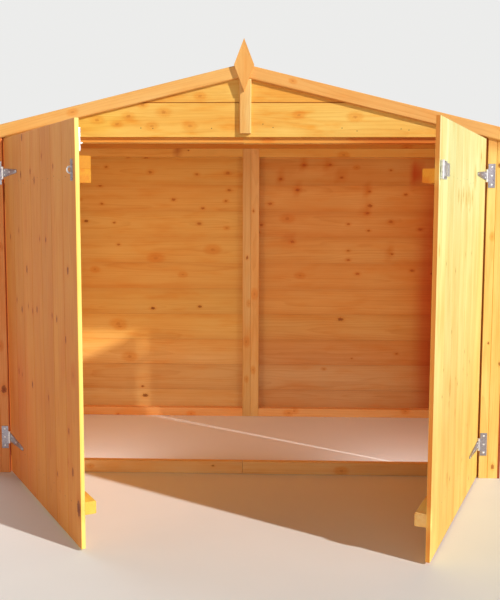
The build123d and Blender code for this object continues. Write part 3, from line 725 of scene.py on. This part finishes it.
EAVES_T, EAVES_Z = 12, roof_z(ROOF_HALF, UNDER) - 38
eaves = Piece()
for side in SIDES:
    bar(eaves, side, (ROOF_HALF - EAVES_T, ROOF_HALF), (INFILL_Y, BACK_Y), (EAVES_Z, EAVES_Z + 60),
        "y", "away", planes=[roof_plane(side, UNDER)])
wood(eaves, "eaves_boards", "trim_timber", "eaves_fascia_left", "eaves_fascia_right")

bars = Piece()
timber(bars, (-HALF, FRAME_Y, roof_z(0, UNDER) - 52), (HALF, BACK_FRAME_Y, APEX_Z), "y", "-z",
       planes=UNDER_ROOF)
wood(bars, "ridge_timber", "framing", "ridge_bar")
bars, ties = Piece(), Piece()
middle = (HALF + POST_X) / 2
GABLES = (FRAME_Y, LINTEL_TOP_Z), (INNER_Y, BACK_TOP_Z)
for side in SIDES:
    top = roof_z(middle - HALF, UNDER)
    bar(bars, side, (middle - HALF, middle + HALF), (FRAME_BACK_Y, INNER_Y), (top - 60, top), "y", "-z",
        planes=[roof_plane(side, UNDER), roof_plane(side, UNDER + BATTEN, -1)])
    for y0, low in GABLES:
        board(ties, sloping(side, UNDER, BATTEN, y0, -1), (1000, BATTEN, BATTEN),
              planes=[beyond("x", side * HALF, -side), beyond("x", side * POST_X, side),
                      beyond("z", low + BATTEN, -1)])
# The level ties have painted shade in their tint
for y0, low in GABLES:
    timber(ties, (-POST_X, y0, low), (POST_X, y0 + BATTEN, low + BATTEN), "x", "-y", planes=UNDER_ROOF,
           tints=SHADED_UMBER)
wood(bars, "roof_purlins", "framing", "purlins")
wood(ties, "gable_bars", "framing", "gable_rafters")

# Finial
diamond = Piece()
diamond_x, diamond_z, diamond_h, diamond_w, diamond_t = 4.5, APEX_Z - 6, 91.0, 35.5, 13
corner = Vector((diamond_x, VERGE_Y - diamond_t, diamond_z - diamond_h))
cuts = [(Vector((diamond_x + sx * diamond_w, 0, diamond_z)), Vector((sx * diamond_h, 0, sz * diamond_w)))
        for sx in (-1, 1) for sz in (-1, 1)]
board(diamond, framed(AXIS["z"], -AXIS["x"], -AXIS["y"], corner), (2 * diamond_h, 2 * diamond_w, diamond_t),
      planes=cuts, knots=0, tints=TRIM, end=0.5)
wood(diamond, "finial_head", "trim_timber", "finial_diamond")
stem = Piece()
stem_x, stem_w = 8.5, 21
timber(stem, (stem_x - stem_w, VERGE_Y, INFILL_Z + 12), (stem_x + stem_w, INFILL_Y, APEX_Z), "z", "-y",
       front=3.0, planes=UNDER_VERGE, knots=0, tints=STEM)
wood(stem, "finial_tail", "trim_timber", "finial_stem")

# Doors, and how the ledges' free ends differ from the rest of them
ENDS = {
    # Painted sunlight on the lower left ledge's free end
    (LEFT, LOW_LEDGE_Z): [((-FREE_X, 0, LOW_LEDGE_Z + 20), (70, 90, 90), (1.1, 1.6, 1.3))],
    (LEFT, TOP_LEDGE_Z): [((-FREE_X, 0, TOP_LEDGE_Z + 20), (9, 90, 90), (0.93, 0.92, 0.12))],
    (RIGHT, LOW_LEDGE_Z): [((FREE_X, 0, LOW_LEDGE_Z + 20), (30, 90, 90), (1.1, 1.4, 2.3)),
                           ((FREE_X + 75, 0, LOW_LEDGE_Z + LEDGE_H), (75, 90, 9), (1.1, 2.3, 6.0))],
    (RIGHT, TOP_LEDGE_Z): [((FREE_X, 0, TOP_LEDGE_Z + 20), (60, 90, 90), (1.1, 0.88, 0.26))],
}
LEDGE_X = EDGE_X - 11
for side in SIDES:
    move, body = swing(side), DOOR[side]
    middle = (EDGE_X + FREE_X) / 2
    lines = [FREE_X] + [middle + (n - 3.5) * BOARD for n in range(1, 7)] + [EDGE_X]
    if side == LEFT:
        marks = spots([(-(PIN_X - s), z) for s, z in LEFT_DOOR_KNOTS], DOOR_Y, 5.6, 0.62)
        marks.append(((-(PIN_X - 842), DOOR_Y, 122), 13.0, 1.0))
        # Painted shade on the left door's face, painted sunlight on its edges
        tints, patches = (SHADED_TAN, SUNLIT_GOLD, HONEY), []
        # The first blot paints warm light from the ground, redder towards the foot; the second makes the
        # lower hinge side redder
        blots = [((-430, DOOR_Y, 330), (900, 9, 950), (1.0, 0.85, 0.55)),
                 ((-760, DOOR_Y, 230), (300, 9, 400), (1.04, 0.82, 0.75))]
    else:
        marks = spots([(FREE_X + s, z) for s, z in RIGHT_DOOR_KNOTS], DOOR_Y, 3.2, 0.5)
        marks += spots([(FREE_X + s, z) for s, z in RIGHT_DOOR_SCUFFS], DOOR_Y, 5.0, 0.16)
        # Painted sunlight on the right door's face, painted shade on its edges
        tints = (SUNLIT_STRAW, SHADED_FLAME, HONEY)
        patches = [((FREE_X, DOOR_Y + 6, z), (14, 40, reach), (1.12, 1.55, 1.8))
                   for z, reach in ((122, 34), (1080, 34), (20, 16))]
        blots = [((430, DOOR_Y, 1229), (900, 9, 330), (1.0, 1.13, 1.5)),
                 ((430, DOOR_Y, 0), (900, 9, 640), (0.99, 0.74, 0.47))]
    leaf = Piece()
    for number, xs in enumerate(zip(lines, lines[1:])):
        joints = (number > 0, number < 6)
        # The last board's edges have painted shade, as they stand in the gap at the pin
        bar(leaf, side, xs, (DOOR_Y, DOOR_BACK_Y), (DOOR_Z0, DOOR_Z1), "z", "-y", move=move,
            joints=joints if side == LEFT else joints[::-1], marks=marks, knots=0.12, groove=FINE,
            tints=(tints[0], GAP_SHADE, HONEY) if number == 6 else tints,
            blots=blots + (patches if number == 0 else []))
    wood(leaf, body + "_planks", "boards", body + "_boards", body=body)
    ledges, brace = Piece(), Piece()
    ledge_y = DOOR_BACK_Y + LEDGE_T
    for z in (LOW_LEDGE_Z, TOP_LEDGE_Z):
        bar(ledges, side, (FREE_X, LEDGE_X), (DOOR_BACK_Y, ledge_y), (z, z + LEDGE_H), "x", "y", move=move,
            front=2.0, tints=AMBER, blots=ENDS[side, z])
    wood(ledges, body + "_ledge_bars", "framing", body + "_ledges", body=body)
    low, high = LOW_LEDGE_Z + LEDGE_H, TOP_LEDGE_Z
    foot, head, spare = LEDGE_X - 45, FREE_X + 190, 60
    run = BATTEN * sqrt(1 + ((foot - head - BATTEN) / (high - low)) ** 2)
    start = Vector((side * (foot - run / 2), ledge_y, low))
    stop = Vector((side * (head + run / 2), ledge_y, high))
    along = (stop - start).normalized()
    board(brace, framed(along, AXIS["y"].cross(along), AXIS["y"], start - along * spare),
          ((stop - start).length + 2 * spare, BATTEN, LEDGE_T), move=move, front=2.0,
          planes=[beyond("z", low, -1), beyond("z", high, 1)], tints=AMBER)
    wood(brace, body + "_brace_bar", "framing", body + "_brace", body=body)
block = Piece()
bar(block, LEFT, (FREE_X, FREE_X + 120), (DOOR_BACK_Y, DOOR_BACK_Y + LEDGE_T), (1090, 1127), "x", "y",
    move=swing(LEFT), front=2.0, tints=ORANGE)
wood(block, "bolt_block", "framing", "catch_block", body="left_door")


# Ironmongery
class Metal:
    """Plates, rods and screws that become one object."""

    def __init__(self):
        self.bm = bmesh.new()

    def add(self, bm, place=Matrix(), move=Matrix()):
        part = bpy.data.meshes.new("part")
        bmesh.ops.recalc_face_normals(bm, faces=bm.faces)
        bm.to_mesh(part)
        bm.free()
        part.transform(move @ place)
        self.bm.from_mesh(part)
        bpy.data.meshes.remove(part)

    def finish(self, name, body, material, slot="zinc_plate", nodes=()):
        mesh = bpy.data.meshes.new(name)
        self.bm.to_mesh(mesh)
        self.bm.free()
        mesh.transform(Matrix.Scale(1 / METRE, 4))
        mesh.polygons.foreach_set("use_smooth", [True] * len(mesh.polygons))
        mesh.set_sharp_from_angle(angle=radians(32))
        return dress(mesh, name, body, material, nodes)


def plate(outline, back, front, ease=0.5, hole=()):
    """A flat plate with an outline in x and z, its front rims eased, and with a hole if one is given."""
    bm, loops = bmesh.new(), [outline] + ([hole] if hole else [])
    fill_in = tessellate_polygon([[Vector((x, z, 0)) for x, z in loop] for loop in loops])
    layers = [[bm.verts.new((x, y, z)) for loop in loops for x, z in loop] for y in (front, back)]
    for layer in layers:
        for corners in fill_in:
            bm.faces.new([layer[i] for i in corners])
    rim, first = [], 0
    for loop in loops:
        for i in range(len(loop)):
            a, b = first + i, first + (i + 1) % len(loop)
            bm.faces.new((layers[0][a], layers[0][b], layers[1][b], layers[1][a]))
            rim.append(bm.edges.get((layers[0][a], layers[0][b])))
        first += len(loop)
    bmesh.ops.recalc_face_normals(bm, faces=bm.faces)
    bmesh.ops.bevel(bm, geom=rim, offset=ease, segments=2, profile=0.6, affect="EDGES")
    return bm


def rounded(points, radius):
    """An outline with its corners rounded."""
    out = []
    for i, point in enumerate(points):
        here = Vector(point)
        before, after = Vector(points[i - 1]) - here, Vector(points[(i + 1) % len(points)]) - here
        reach = min(radius, before.length * 0.49, after.length * 0.49)
        a, b = here + before.normalized() * reach, here + after.normalized() * reach
        for step in range(5):
            t = step / 4
            out.append(tuple(a * (1 - t) ** 2 + here * 2 * t * (1 - t) + b * t * t))
    return out


def arc(x, z, radius, count=12):
    """Points of a half circle about x and z, over its top from left to right."""
    return [(x - radius * cos(t), z + radius * sin(t)) for t in spread(0, pi, count)]


def notched(end, half, gap, rim, inside):
    """A plate from a pin at x 0: its far end rounded, its near end stepped where it meets the knuckles."""
    far = rounded([(end, -half), (end, half), (0, half), (0, -half)], 5)[:10]
    near = [(rim, half), (rim, gap), (inside, gap)]
    return far + near + [(x, -z) for x, z in reversed(near)]


def rectangle(x0, x1, z0, z1, radius=0.0):
    points = [(x0, z0), (x1, z0), (x1, z1), (x0, z1)]
    return rounded(points, radius) if radius else points


def lathe(profile, count=24, pits=lambda ring, spoke: 0.0):
    """Turns (radius, height) pairs about z; pits gives how far a corner of a ring is pressed in."""
    bm = bmesh.new()
    rings = []
    for number, (radius, height) in enumerate(profile):
        if radius == 0:
            rings.append([bm.verts.new((0, 0, height))] * count)
            continue
        rings.append([bm.verts.new((radius * cos(t), radius * sin(t), height - pits(number, i)))
                      for i, t in enumerate(spread(0, 2 * pi, count)[:-1])])
    for a, b in zip(rings, rings[1:]):
        for i in range(count):
            j = (i + 1) % count
            corners = list(dict.fromkeys((a[i], a[j], b[j], b[i])))
            if len(corners) > 2:
                bm.faces.new(corners)
    return bm


def stud_head(x, y, z, out, spin=0.0):
    """A frame whose z points out of a face, for a screw's or a nail's head."""
    place = Vector(out).to_track_quat("Z", "Y").to_matrix().to_4x4() @ Matrix.Rotation(spin, 4, "Z")
    place.translation = (x, y, z)
    return place


def screw(metal, x, y, z, out=(0, -1, 0), move=Matrix(), radius=3.6):
    """A raised cross-head screw whose head stands on that point."""
    rise = radius * 0.27
    profile = ((0, 0.25), (0.18, 0.3), (0.34, 1), (0.62, 0.92), (0.9, 0.5), (1, 0))
    bm = lathe([(r * radius, h * rise) for r, h in profile], 16,
               lambda ring, spoke: rise * 0.6 if ring == 2 and spoke % 4 == 0 else 0.0)
    metal.add(bm, stud_head(x, y, z, out, rng.uniform(0, 1.5)), move)


def nail(metal, x, y, z, out, move=Matrix(), radius=1.7, rise=0.3):
    bm = lathe([(0, rise), (radius * 0.7, rise * 0.9), (radius, rise * 0.4), (radius, -0.3)], 10)
    metal.add(bm, stud_head(x, y, z, out), move)


def knuckle(metal, radius, low, high, x, y, move, pin=0.0):
    """A hinge's knuckle on z, with the pin's end showing in it if the pin's radius is given."""
    end = [(0, 0), (radius - 0.5, 0), (radius, 0.5)]
    if pin:
        end = [(0, 0), (pin - 0.3, 0), (pin, 0.5), (pin + 0.4, 0.5), (pin + 0.7, 0)] + end[1:]
    other = [(r, high - low - h) for r, h in reversed(end)]
    metal.add(lathe(end + other), Matrix.Translation((x, y, low)), move)


PLATE_T, KNUCKLE_R, PIN_R, SCREW_R = 2.5, 4.5, 2.2, 3.2
HINGE_Z = {LEFT: (135.0, 1107.0), RIGHT: (128.0, 1100.0)}
NOTCH, LEAF_W, LEAF_H, OUTER, INNER = 5.5, 30, 42, 22.5, 10.5
HUB, TIP, STRAP = 15.5, 6.0, 184.0
leaf_shape = rounded([
    (NOTCH, -LEAF_H), (LEAF_W, -LEAF_H), (LEAF_W, LEAF_H), (NOTCH, LEAF_H), (NOTCH, OUTER), (0, OUTER),
    (0, INNER), (NOTCH, INNER), (NOTCH, -INNER), (0, -INNER), (0, -OUTER), (NOTCH, -OUTER)], 1.5)
strap_shape = [(0, -10), (-NOTCH, -10), (-NOTCH, -HUB)]
strap_shape += [(-x, z) for z, x in arc(0, STRAP, TIP, 10)]
strap_shape += [(-NOTCH, HUB), (-NOTCH, 10), (0, 10)]
leaves, leaf_heads = Metal(), Metal()
for side in SIDES:
    straps, heads, body = Metal(), Metal(), DOOR[side]
    for z in HINGE_Z[side]:
        at = Matrix.Translation((side * PIN_X, 0, z))
        leaves.add(plate([(side * x, h) for x, h in leaf_shape], DOOR_Y, DOOR_Y - PLATE_T, 0.7), at)
        for low, high in ((-OUTER, -INNER), (INNER, OUTER)):
            knuckle(leaf_heads, KNUCKLE_R, low, high, 0, PIN_Y, at, pin=PIN_R)
        knuckle(leaf_heads, PIN_R, -12, 12, 0, PIN_Y, at)
        for rise in (-31, 0, 31):
            screw(leaf_heads, side * 18, DOOR_Y - PLATE_T, rise, move=at)
        at = swing(side) @ at
        straps.add(plate([(side * x, h) for x, h in strap_shape], DOOR_Y, DOOR_Y - PLATE_T, 0.7), at)
        knuckle(heads, KNUCKLE_R, -10, 10, 0, PIN_Y, at)
        for along, height in ((17, 7.5), (17, -7.5), (88, 0), (180, 0)):
            screw(heads, -side * along, DOOR_Y - PLATE_T, height, move=at, radius=SCREW_R)
    straps.finish(body + "_hinge_straps", body, SHADED_ZINC, nodes=(body + "_straps",))
    heads.finish(body + "_hinge_knuckles", body, ZINC)
leaves.finish("hinge_leaf_plates", "shelter", SHADED_ZINC, nodes=("hinge_leaves",))
leaf_heads.finish("hinge_leaf_knuckles", "shelter", ZINC)

# Hasp on the right door, from its pin, and staple on the left one
HASP_X, HASP_Y, HASP_Z, HASP_T = 11.0, DOOR_Y - 7.0, 1088.5, 2.0
HASP_PIN_R, LEAF_HALF, LEAF_GAP, STRAP_HALF, STRAP_KNUCKLE = 2.0, 25, 8.5, 18, 8
at = swing(RIGHT) @ Matrix.Translation((HASP_X, 0, HASP_Z))
leaf, black = Metal(), Metal()
leaf.add(plate(notched(92, LEAF_HALF, LEAF_GAP, 0, NOTCH), DOOR_Y, DOOR_Y - HASP_T), at)
for low, high in ((-LEAF_HALF, -LEAF_GAP), (LEAF_GAP, LEAF_HALF)):
    knuckle(leaf, KNUCKLE_R, low, high, 0, HASP_Y, at, pin=HASP_PIN_R)
    leaf.add(plate(rectangle(0, KNUCKLE_R, low, high), DOOR_Y, HASP_Y, 0.4), at)
knuckle(leaf, HASP_PIN_R, -10, 10, 0, HASP_Y, at)
for along, height in ((85, -17), (85, 0), (85, 17), (20, 20.5), (20, -20.5), (56, 21), (56, -21)):
    screw(black, along, DOOR_Y - HASP_T, height, move=at, radius=SCREW_R)
leaf.finish("hasp_leaf_plate", "right_door", ZINC, nodes=("hasp_leaf",))
black.finish("hasp_screws", "right_door", DULL)

strap = Metal()
face = HASP_Y - KNUCKLE_R
outline = notched(78, STRAP_HALF, STRAP_KNUCKLE, NOTCH, 0)
strap.add(plate(outline, face + HASP_T, face, hole=rectangle(38.5, 51.5, -13, 13, 3)), at)
knuckle(strap, KNUCKLE_R, -STRAP_KNUCKLE, STRAP_KNUCKLE, 0, HASP_Y, at)
strap.finish("hasp_slotted_strap", "hasp", ZINC, nodes=("hasp_strap",))


def wire(path, radius, count=12):
    """A round wire along points in a plane across x."""
    bm, rings = bmesh.new(), []
    for i, point in enumerate(path):
        ahead = (path[min(i + 1, len(path) - 1)] - path[max(i - 1, 0)]).normalized()
        side_way = ahead.cross(AXIS["x"])
        rings.append([bm.verts.new(point + (AXIS["x"] * cos(t) + side_way * sin(t)) * radius)
                      for t in spread(0, 2 * pi, count)[:-1]])
    skin(bm, rings)
    return bm


WIRE_R, LEG = 2.5, 9.0
at = swing(LEFT) @ Matrix.Translation((HASP_X - 45.0, 0, HASP_Z))
loop, backing = Metal(), Metal()
bend = DOOR_Y - 15.5 + LEG + WIRE_R
path = [Vector((0, DOOR_Y, -LEG)), Vector((0, bend, -LEG))]
path += [Vector((0, -y, z)) for z, y in arc(0, -bend, LEG, 16)[1:-1]]
path += [Vector((0, bend, LEG)), Vector((0, DOOR_Y, LEG))]
loop.add(wire(path, WIRE_R), at)
backing.add(plate(rectangle(-11, 11, -30, 30, 3), DOOR_Y, DOOR_Y - 1, 0.3), at)
for height in (-23, 23):
    screw(backing, 0, DOOR_Y - 1, height, move=at, radius=SCREW_R)
loop.finish("staple_wire", "left_door", ZINC)
backing.finish("staple_backing", "left_door", SHADED_ZINC, nodes=("staple",))

# Tower bolt on the inside of the left door, from the foot of its plate
ROD_R, ROD_Y, GUIDE_R, BASE_T = 3.0, 5.5, 3.05, 1.5
at = swing(LEFT) @ Matrix.Translation((-FREE_X - 14.0, DOOR_BACK_Y, DOOR_Z1 - 90.0))
base = Metal()
base.add(plate(rectangle(-12, 12, 0, 65, 2.5), 0, BASE_T, 0.4), at)
arch = [(-6.5, BASE_T), (-GUIDE_R, BASE_T)] + arc(0, ROD_Y, GUIDE_R) + [(GUIDE_R, BASE_T), (6.5, BASE_T)]
arch += [(6.5, 2.6), (4.1, 3.2)] + arc(0, ROD_Y, GUIDE_R + 1)[::-1] + [(-4.1, 3.2), (-6.5, 2.6)]
for low in (4, 52):
    bm = bmesh.new()
    ends = skin(bm, [[bm.verts.new((a, b, z)) for a, b in arch] for z in (low, low + 9)])
    bmesh.ops.triangulate(bm, faces=ends)
    base.add(bm, at)
for across, height in ((-9, 18), (9, 18), (-9, 47), (9, 47)):
    screw(base, across, BASE_T, height, (0, 1, 0), at, 2.3)
base.finish("bolt_base", "left_door", ZINC, nodes=("tower_bolt_plate",))
shaft = Metal()
rod = [(0, 0), (2.2, 0), (ROD_R, 0.8), (ROD_R, 63), (2.2, 65), (0, 65)]
shaft.add(lathe(rod), at @ Matrix.Translation((0, ROD_Y, 0)))
knob = [(0, 0), (3, 0), (3, 6.5), (2.4, 8.4), (1.2, 9), (0, 9)]
shaft.add(lathe(knob), at @ stud_head(0, ROD_Y, 22.5, (0, 1, 0)))
shaft.finish("bolt_shaft", "bolt", ZINC, nodes=("tower_bolt_rod",))

# Nails: two in each level board wherever it crosses an upright, and two in each door board at a ledge
NAIL_IN = 22                   # from a level board's edge
nails = Metal()
for x, z in GABLE_NAILS:
    nail(nails, x, INFILL_Y, z, (0, -1, 0))
for row in range(13):
    for z in (BOARD * row + NAIL_IN, BOARD * row + BOARD - NAIL_IN):
        for side in SIDES:
            for y in (-14, 432, 917):
                if z < INFILL_Z - 6:
                    nail(nails, side * WALL_X, y + rng.uniform(-5, 5), z + rng.uniform(-4, 4), (side, 0, 0))
            for x in (side * (POST_X + HALF), side * 30):
                if z < roof_z(x, UNDER) - 8:
                    x += rng.uniform(-5, 5) * (abs(x) > 99)
                    nail(nails, x, BACK_Y, z + rng.uniform(-4, 4), (0, 1, 0))
for y, out in ((VERGE_Y, -1), (BACK_Y + VERGE_T, 1)):
    for side in SIDES:
        for x in (95, 330, 600, 905):
            z = roof_z(x, VERGE_W / 2) + rng.uniform(-8, 8)
            nail(nails, side * x, y - out * 0.4, z, (0, out, 0), radius=1.5)
nails.finish("cladding_nails", "shelter", DULL)
for side in SIDES:
    nails = Metal()
    for x in [number * 122.6 + offset for number in range(6) for offset in (34, 92)][:-1]:
        for z in (LOW_LEDGE_Z + HALF, TOP_LEDGE_Z + HALF):
            z += rng.uniform(-9, 9)
            nail(nails, side * (FREE_X + x), DOOR_Y, z, (0, -1, 0), swing(side), 1.4, 0.2)
    nails.finish(DOOR[side] + "_nails", DOOR[side], DULL)

# Roof felt: down the slope to each strip's lower edge, and how deep the strip lies
LAPS = ((150.0, 0.0), (560.0, 0.7), (9999.0, 1.4))
FOLD = ROOF_HALF + FELT_T - 0.8


def felt_depth(along, y, side):
    """How far the felt lies below the roof's top, that far down the slope."""
    edge = along + 6 * noise.noise(Vector((y / 170, side * 3.0, 7.0)))
    level = next(depth for stop, depth in LAPS if edge < stop)
    ripple = 0.45 * abs(noise.noise(Vector((along / 140, y / 190, side * 9.0))))
    return level + ripple


sheet = bmesh.new()
columns, edge = 42, 0.3
ys = spread(INFILL_Y + edge, BACK_Y - edge, columns)
slope_len = ROOF_HALF / cos(PITCH)
for side in SIDES:
    near_laps = [stop + d for stop, _ in LAPS[:2] for d in (-9, -7.5, 7.5, 9)]
    steps = sorted(spread(0, slope_len, 60) + near_laps)
    rows = []
    for along in steps:
        x = along * cos(PITCH)
        rows.append([sheet.verts.new((side * x, y, roof_z(x, felt_depth(along, y, side)))) for y in ys])
    for drop in (1.2, 4, 8, 12, 18, 24, 30, 36, 42, 48, 999):
        z, turn = max(EAVES_Z, roof_z(ROOF_HALF) - drop), 0.9 if drop < 2 else 0
        waves = [0.5 * abs(noise.noise(Vector((y / 90, z / 40, side * 5.0)))) for y in ys]
        rows.append([sheet.verts.new((side * (FOLD - wave - turn), y, z)) for y, wave in zip(ys, waves)])
    for x, z in ((ROOF_HALF, EAVES_Z), (ROOF_HALF, roof_z(ROOF_HALF, FELT_T)), (0, roof_z(0, FELT_T))):
        rows.append([sheet.verts.new((side * x, y, z)) for y in ys])
    for a, b in zip(rows, rows[1:]):
        for i in range(columns):
            sheet.faces.new((a[i], a[i + 1], b[i + 1], b[i]))
    for i in (0, columns):
        bmesh.ops.triangulate(sheet, faces=[sheet.faces.new([row[i] for row in rows])])
bmesh.ops.remove_doubles(sheet, verts=sheet.verts, dist=0.01)
roofing = Metal()
roofing.add(sheet)
roofing.finish("felt_sheets", "shelter", FELT, "roofing_felt", nodes=("roof_felt",))

CLOUT_R, CLOUT_IN = 4.2, 22    # a head's radius, and how far it is from the felt's edge
clouts = Metal()
for side in SIDES:
    slant = Vector((side * sin(PITCH), 0, cos(PITCH)))
    for stop, depth in LAPS[:2]:
        for i in range(15):
            y = INFILL_Y + 35 + i * 64.5 + rng.uniform(-5, 5)
            along = stop - CLOUT_IN + rng.uniform(-4, 4)
            x = along * cos(PITCH)
            z = roof_z(x, felt_depth(along, y, side)) - 0.35
            nail(clouts, side * x, y, z, slant, radius=CLOUT_R, rise=0.5)
    for i in range(15):
        y = INFILL_Y + 25 + i * 66 + rng.uniform(-5, 5)
        z = roof_z(ROOF_HALF, UNDER) - CLOUT_IN + rng.uniform(-4, 4)
        nail(clouts, side * (FOLD - 0.1), y, z, (side, 0, 0), radius=CLOUT_R, rise=0.55)
clouts.finish("clout_nails", "shelter", ZINC)

# Stage, light and camera
scene = bpy.context.scene
floor = bpy.data.meshes.new("floor")
floor.from_pydata([(-60, -60, 0), (60, -60, 0), (60, 60, 0), (-60, 60, 0)], [], [(0, 1, 2, 3)])
floor_obj = bpy.data.objects.new("floor", floor)
scene.collection.objects.link(floor_obj)
g, at = material("pale_floor")
pale = g.mix(g.noise(at, 3, 3), (0.80, 0.79, 0.77), (0.86, 0.85, 0.83))
floor.materials.append(g.surface(g.noise(at, 400), 0.1, 0.0005, Base_Color=pale, Roughness=0.8))

scene.world = bpy.data.worlds.new("studio")
g = Graph(scene.world)
ray = g.add("LightPath").outputs
fill = g.add("Background", ((1.0, 0.95, 0.88, 1), 0.12)).outputs[0]
mirrored = g.add("Background", ((0.37, 0.32, 0.29, 1),)).outputs[0]
backdrop = g.add("Background", ((0.84, 0.84, 0.83, 1),)).outputs[0]
seen = g.add("MixShader", (ray["Is Glossy Ray"], fill, mirrored)).outputs[0]
seen = g.add("MixShader", (ray["Is Camera Ray"], seen, backdrop)).outputs[0]
g.add("OutputWorld", (seen,))

for name, energy, angle, colour, towards in (
    ("key", 3.8, 0.025, (1.0, 0.97, 0.92), (1.42, -1.0, 0.86)),
    ("left", 0.86, 0.7, (1.0, 0.80, 0.63), (-1.0, -0.2, 0.14)),
    ("front", 0.38, 0.6, (1.0, 0.93, 0.84), (0.1, -1.0, 0.08)),
    ("rear", 0.9, 0.8, (0.97, 0.98, 1.0), (-0.6, 0.75, 0.6)),
):
    sun = bpy.data.lights.new(name, "SUN")
    sun.energy, sun.angle, sun.color = energy, angle, colour
    lamp = bpy.data.objects.new(name, sun)
    lamp.rotation_euler = Vector(towards).to_track_quat("Z", "Y").to_euler()
    scene.collection.objects.link(lamp)

# Two soft lights in the doorway stand for the light that comes back into the shelter from in front
for side in SIDES:
    inner = bpy.data.lights.new("doorway", "AREA")
    inner.shape, inner.size, inner.size_y, inner.energy = "RECTANGLE", 0.44, 1.12, 2.5
    lamp = bpy.data.objects.new("doorway", inner)
    lamp.location = (side * 0.62, 0.03, 0.62)
    lamp.rotation_euler = AXIS["y"].to_track_quat("-Z", "Y").to_euler()
    lamp.visible_camera = lamp.visible_glossy = False
    scene.collection.objects.link(lamp)

# The camera as it was worked out from the photograph, with its focal length in pixels
YAW, TILT, ROLL, FOCAL, IMAGE_H, SENSOR = -0.03238784, 0.10423864, 0.00298809, 881.629, 600, 36.0
forward = Vector((sin(YAW) * cos(TILT), cos(YAW) * cos(TILT), -sin(TILT)))
level = Vector((cos(YAW), -sin(YAW), 0))
up = level.cross(forward)
x_axis, y_axis = level * cos(ROLL) + up * sin(ROLL), up * cos(ROLL) - level * sin(ROLL)
camera = bpy.data.cameras.new("camera")
camera.sensor_width = SENSOR
camera.lens = SENSOR * FOCAL / IMAGE_H
camera.clip_start, camera.clip_end = 0.1, 200
eye = bpy.data.objects.new("camera", camera)
eye.matrix_world = framed(x_axis, y_axis, -forward)
eye.location = (0.130, -3.209, 0.985)
scene.collection.objects.link(eye)
scene.camera = eye
scene.view_settings.view_transform = "Standard"
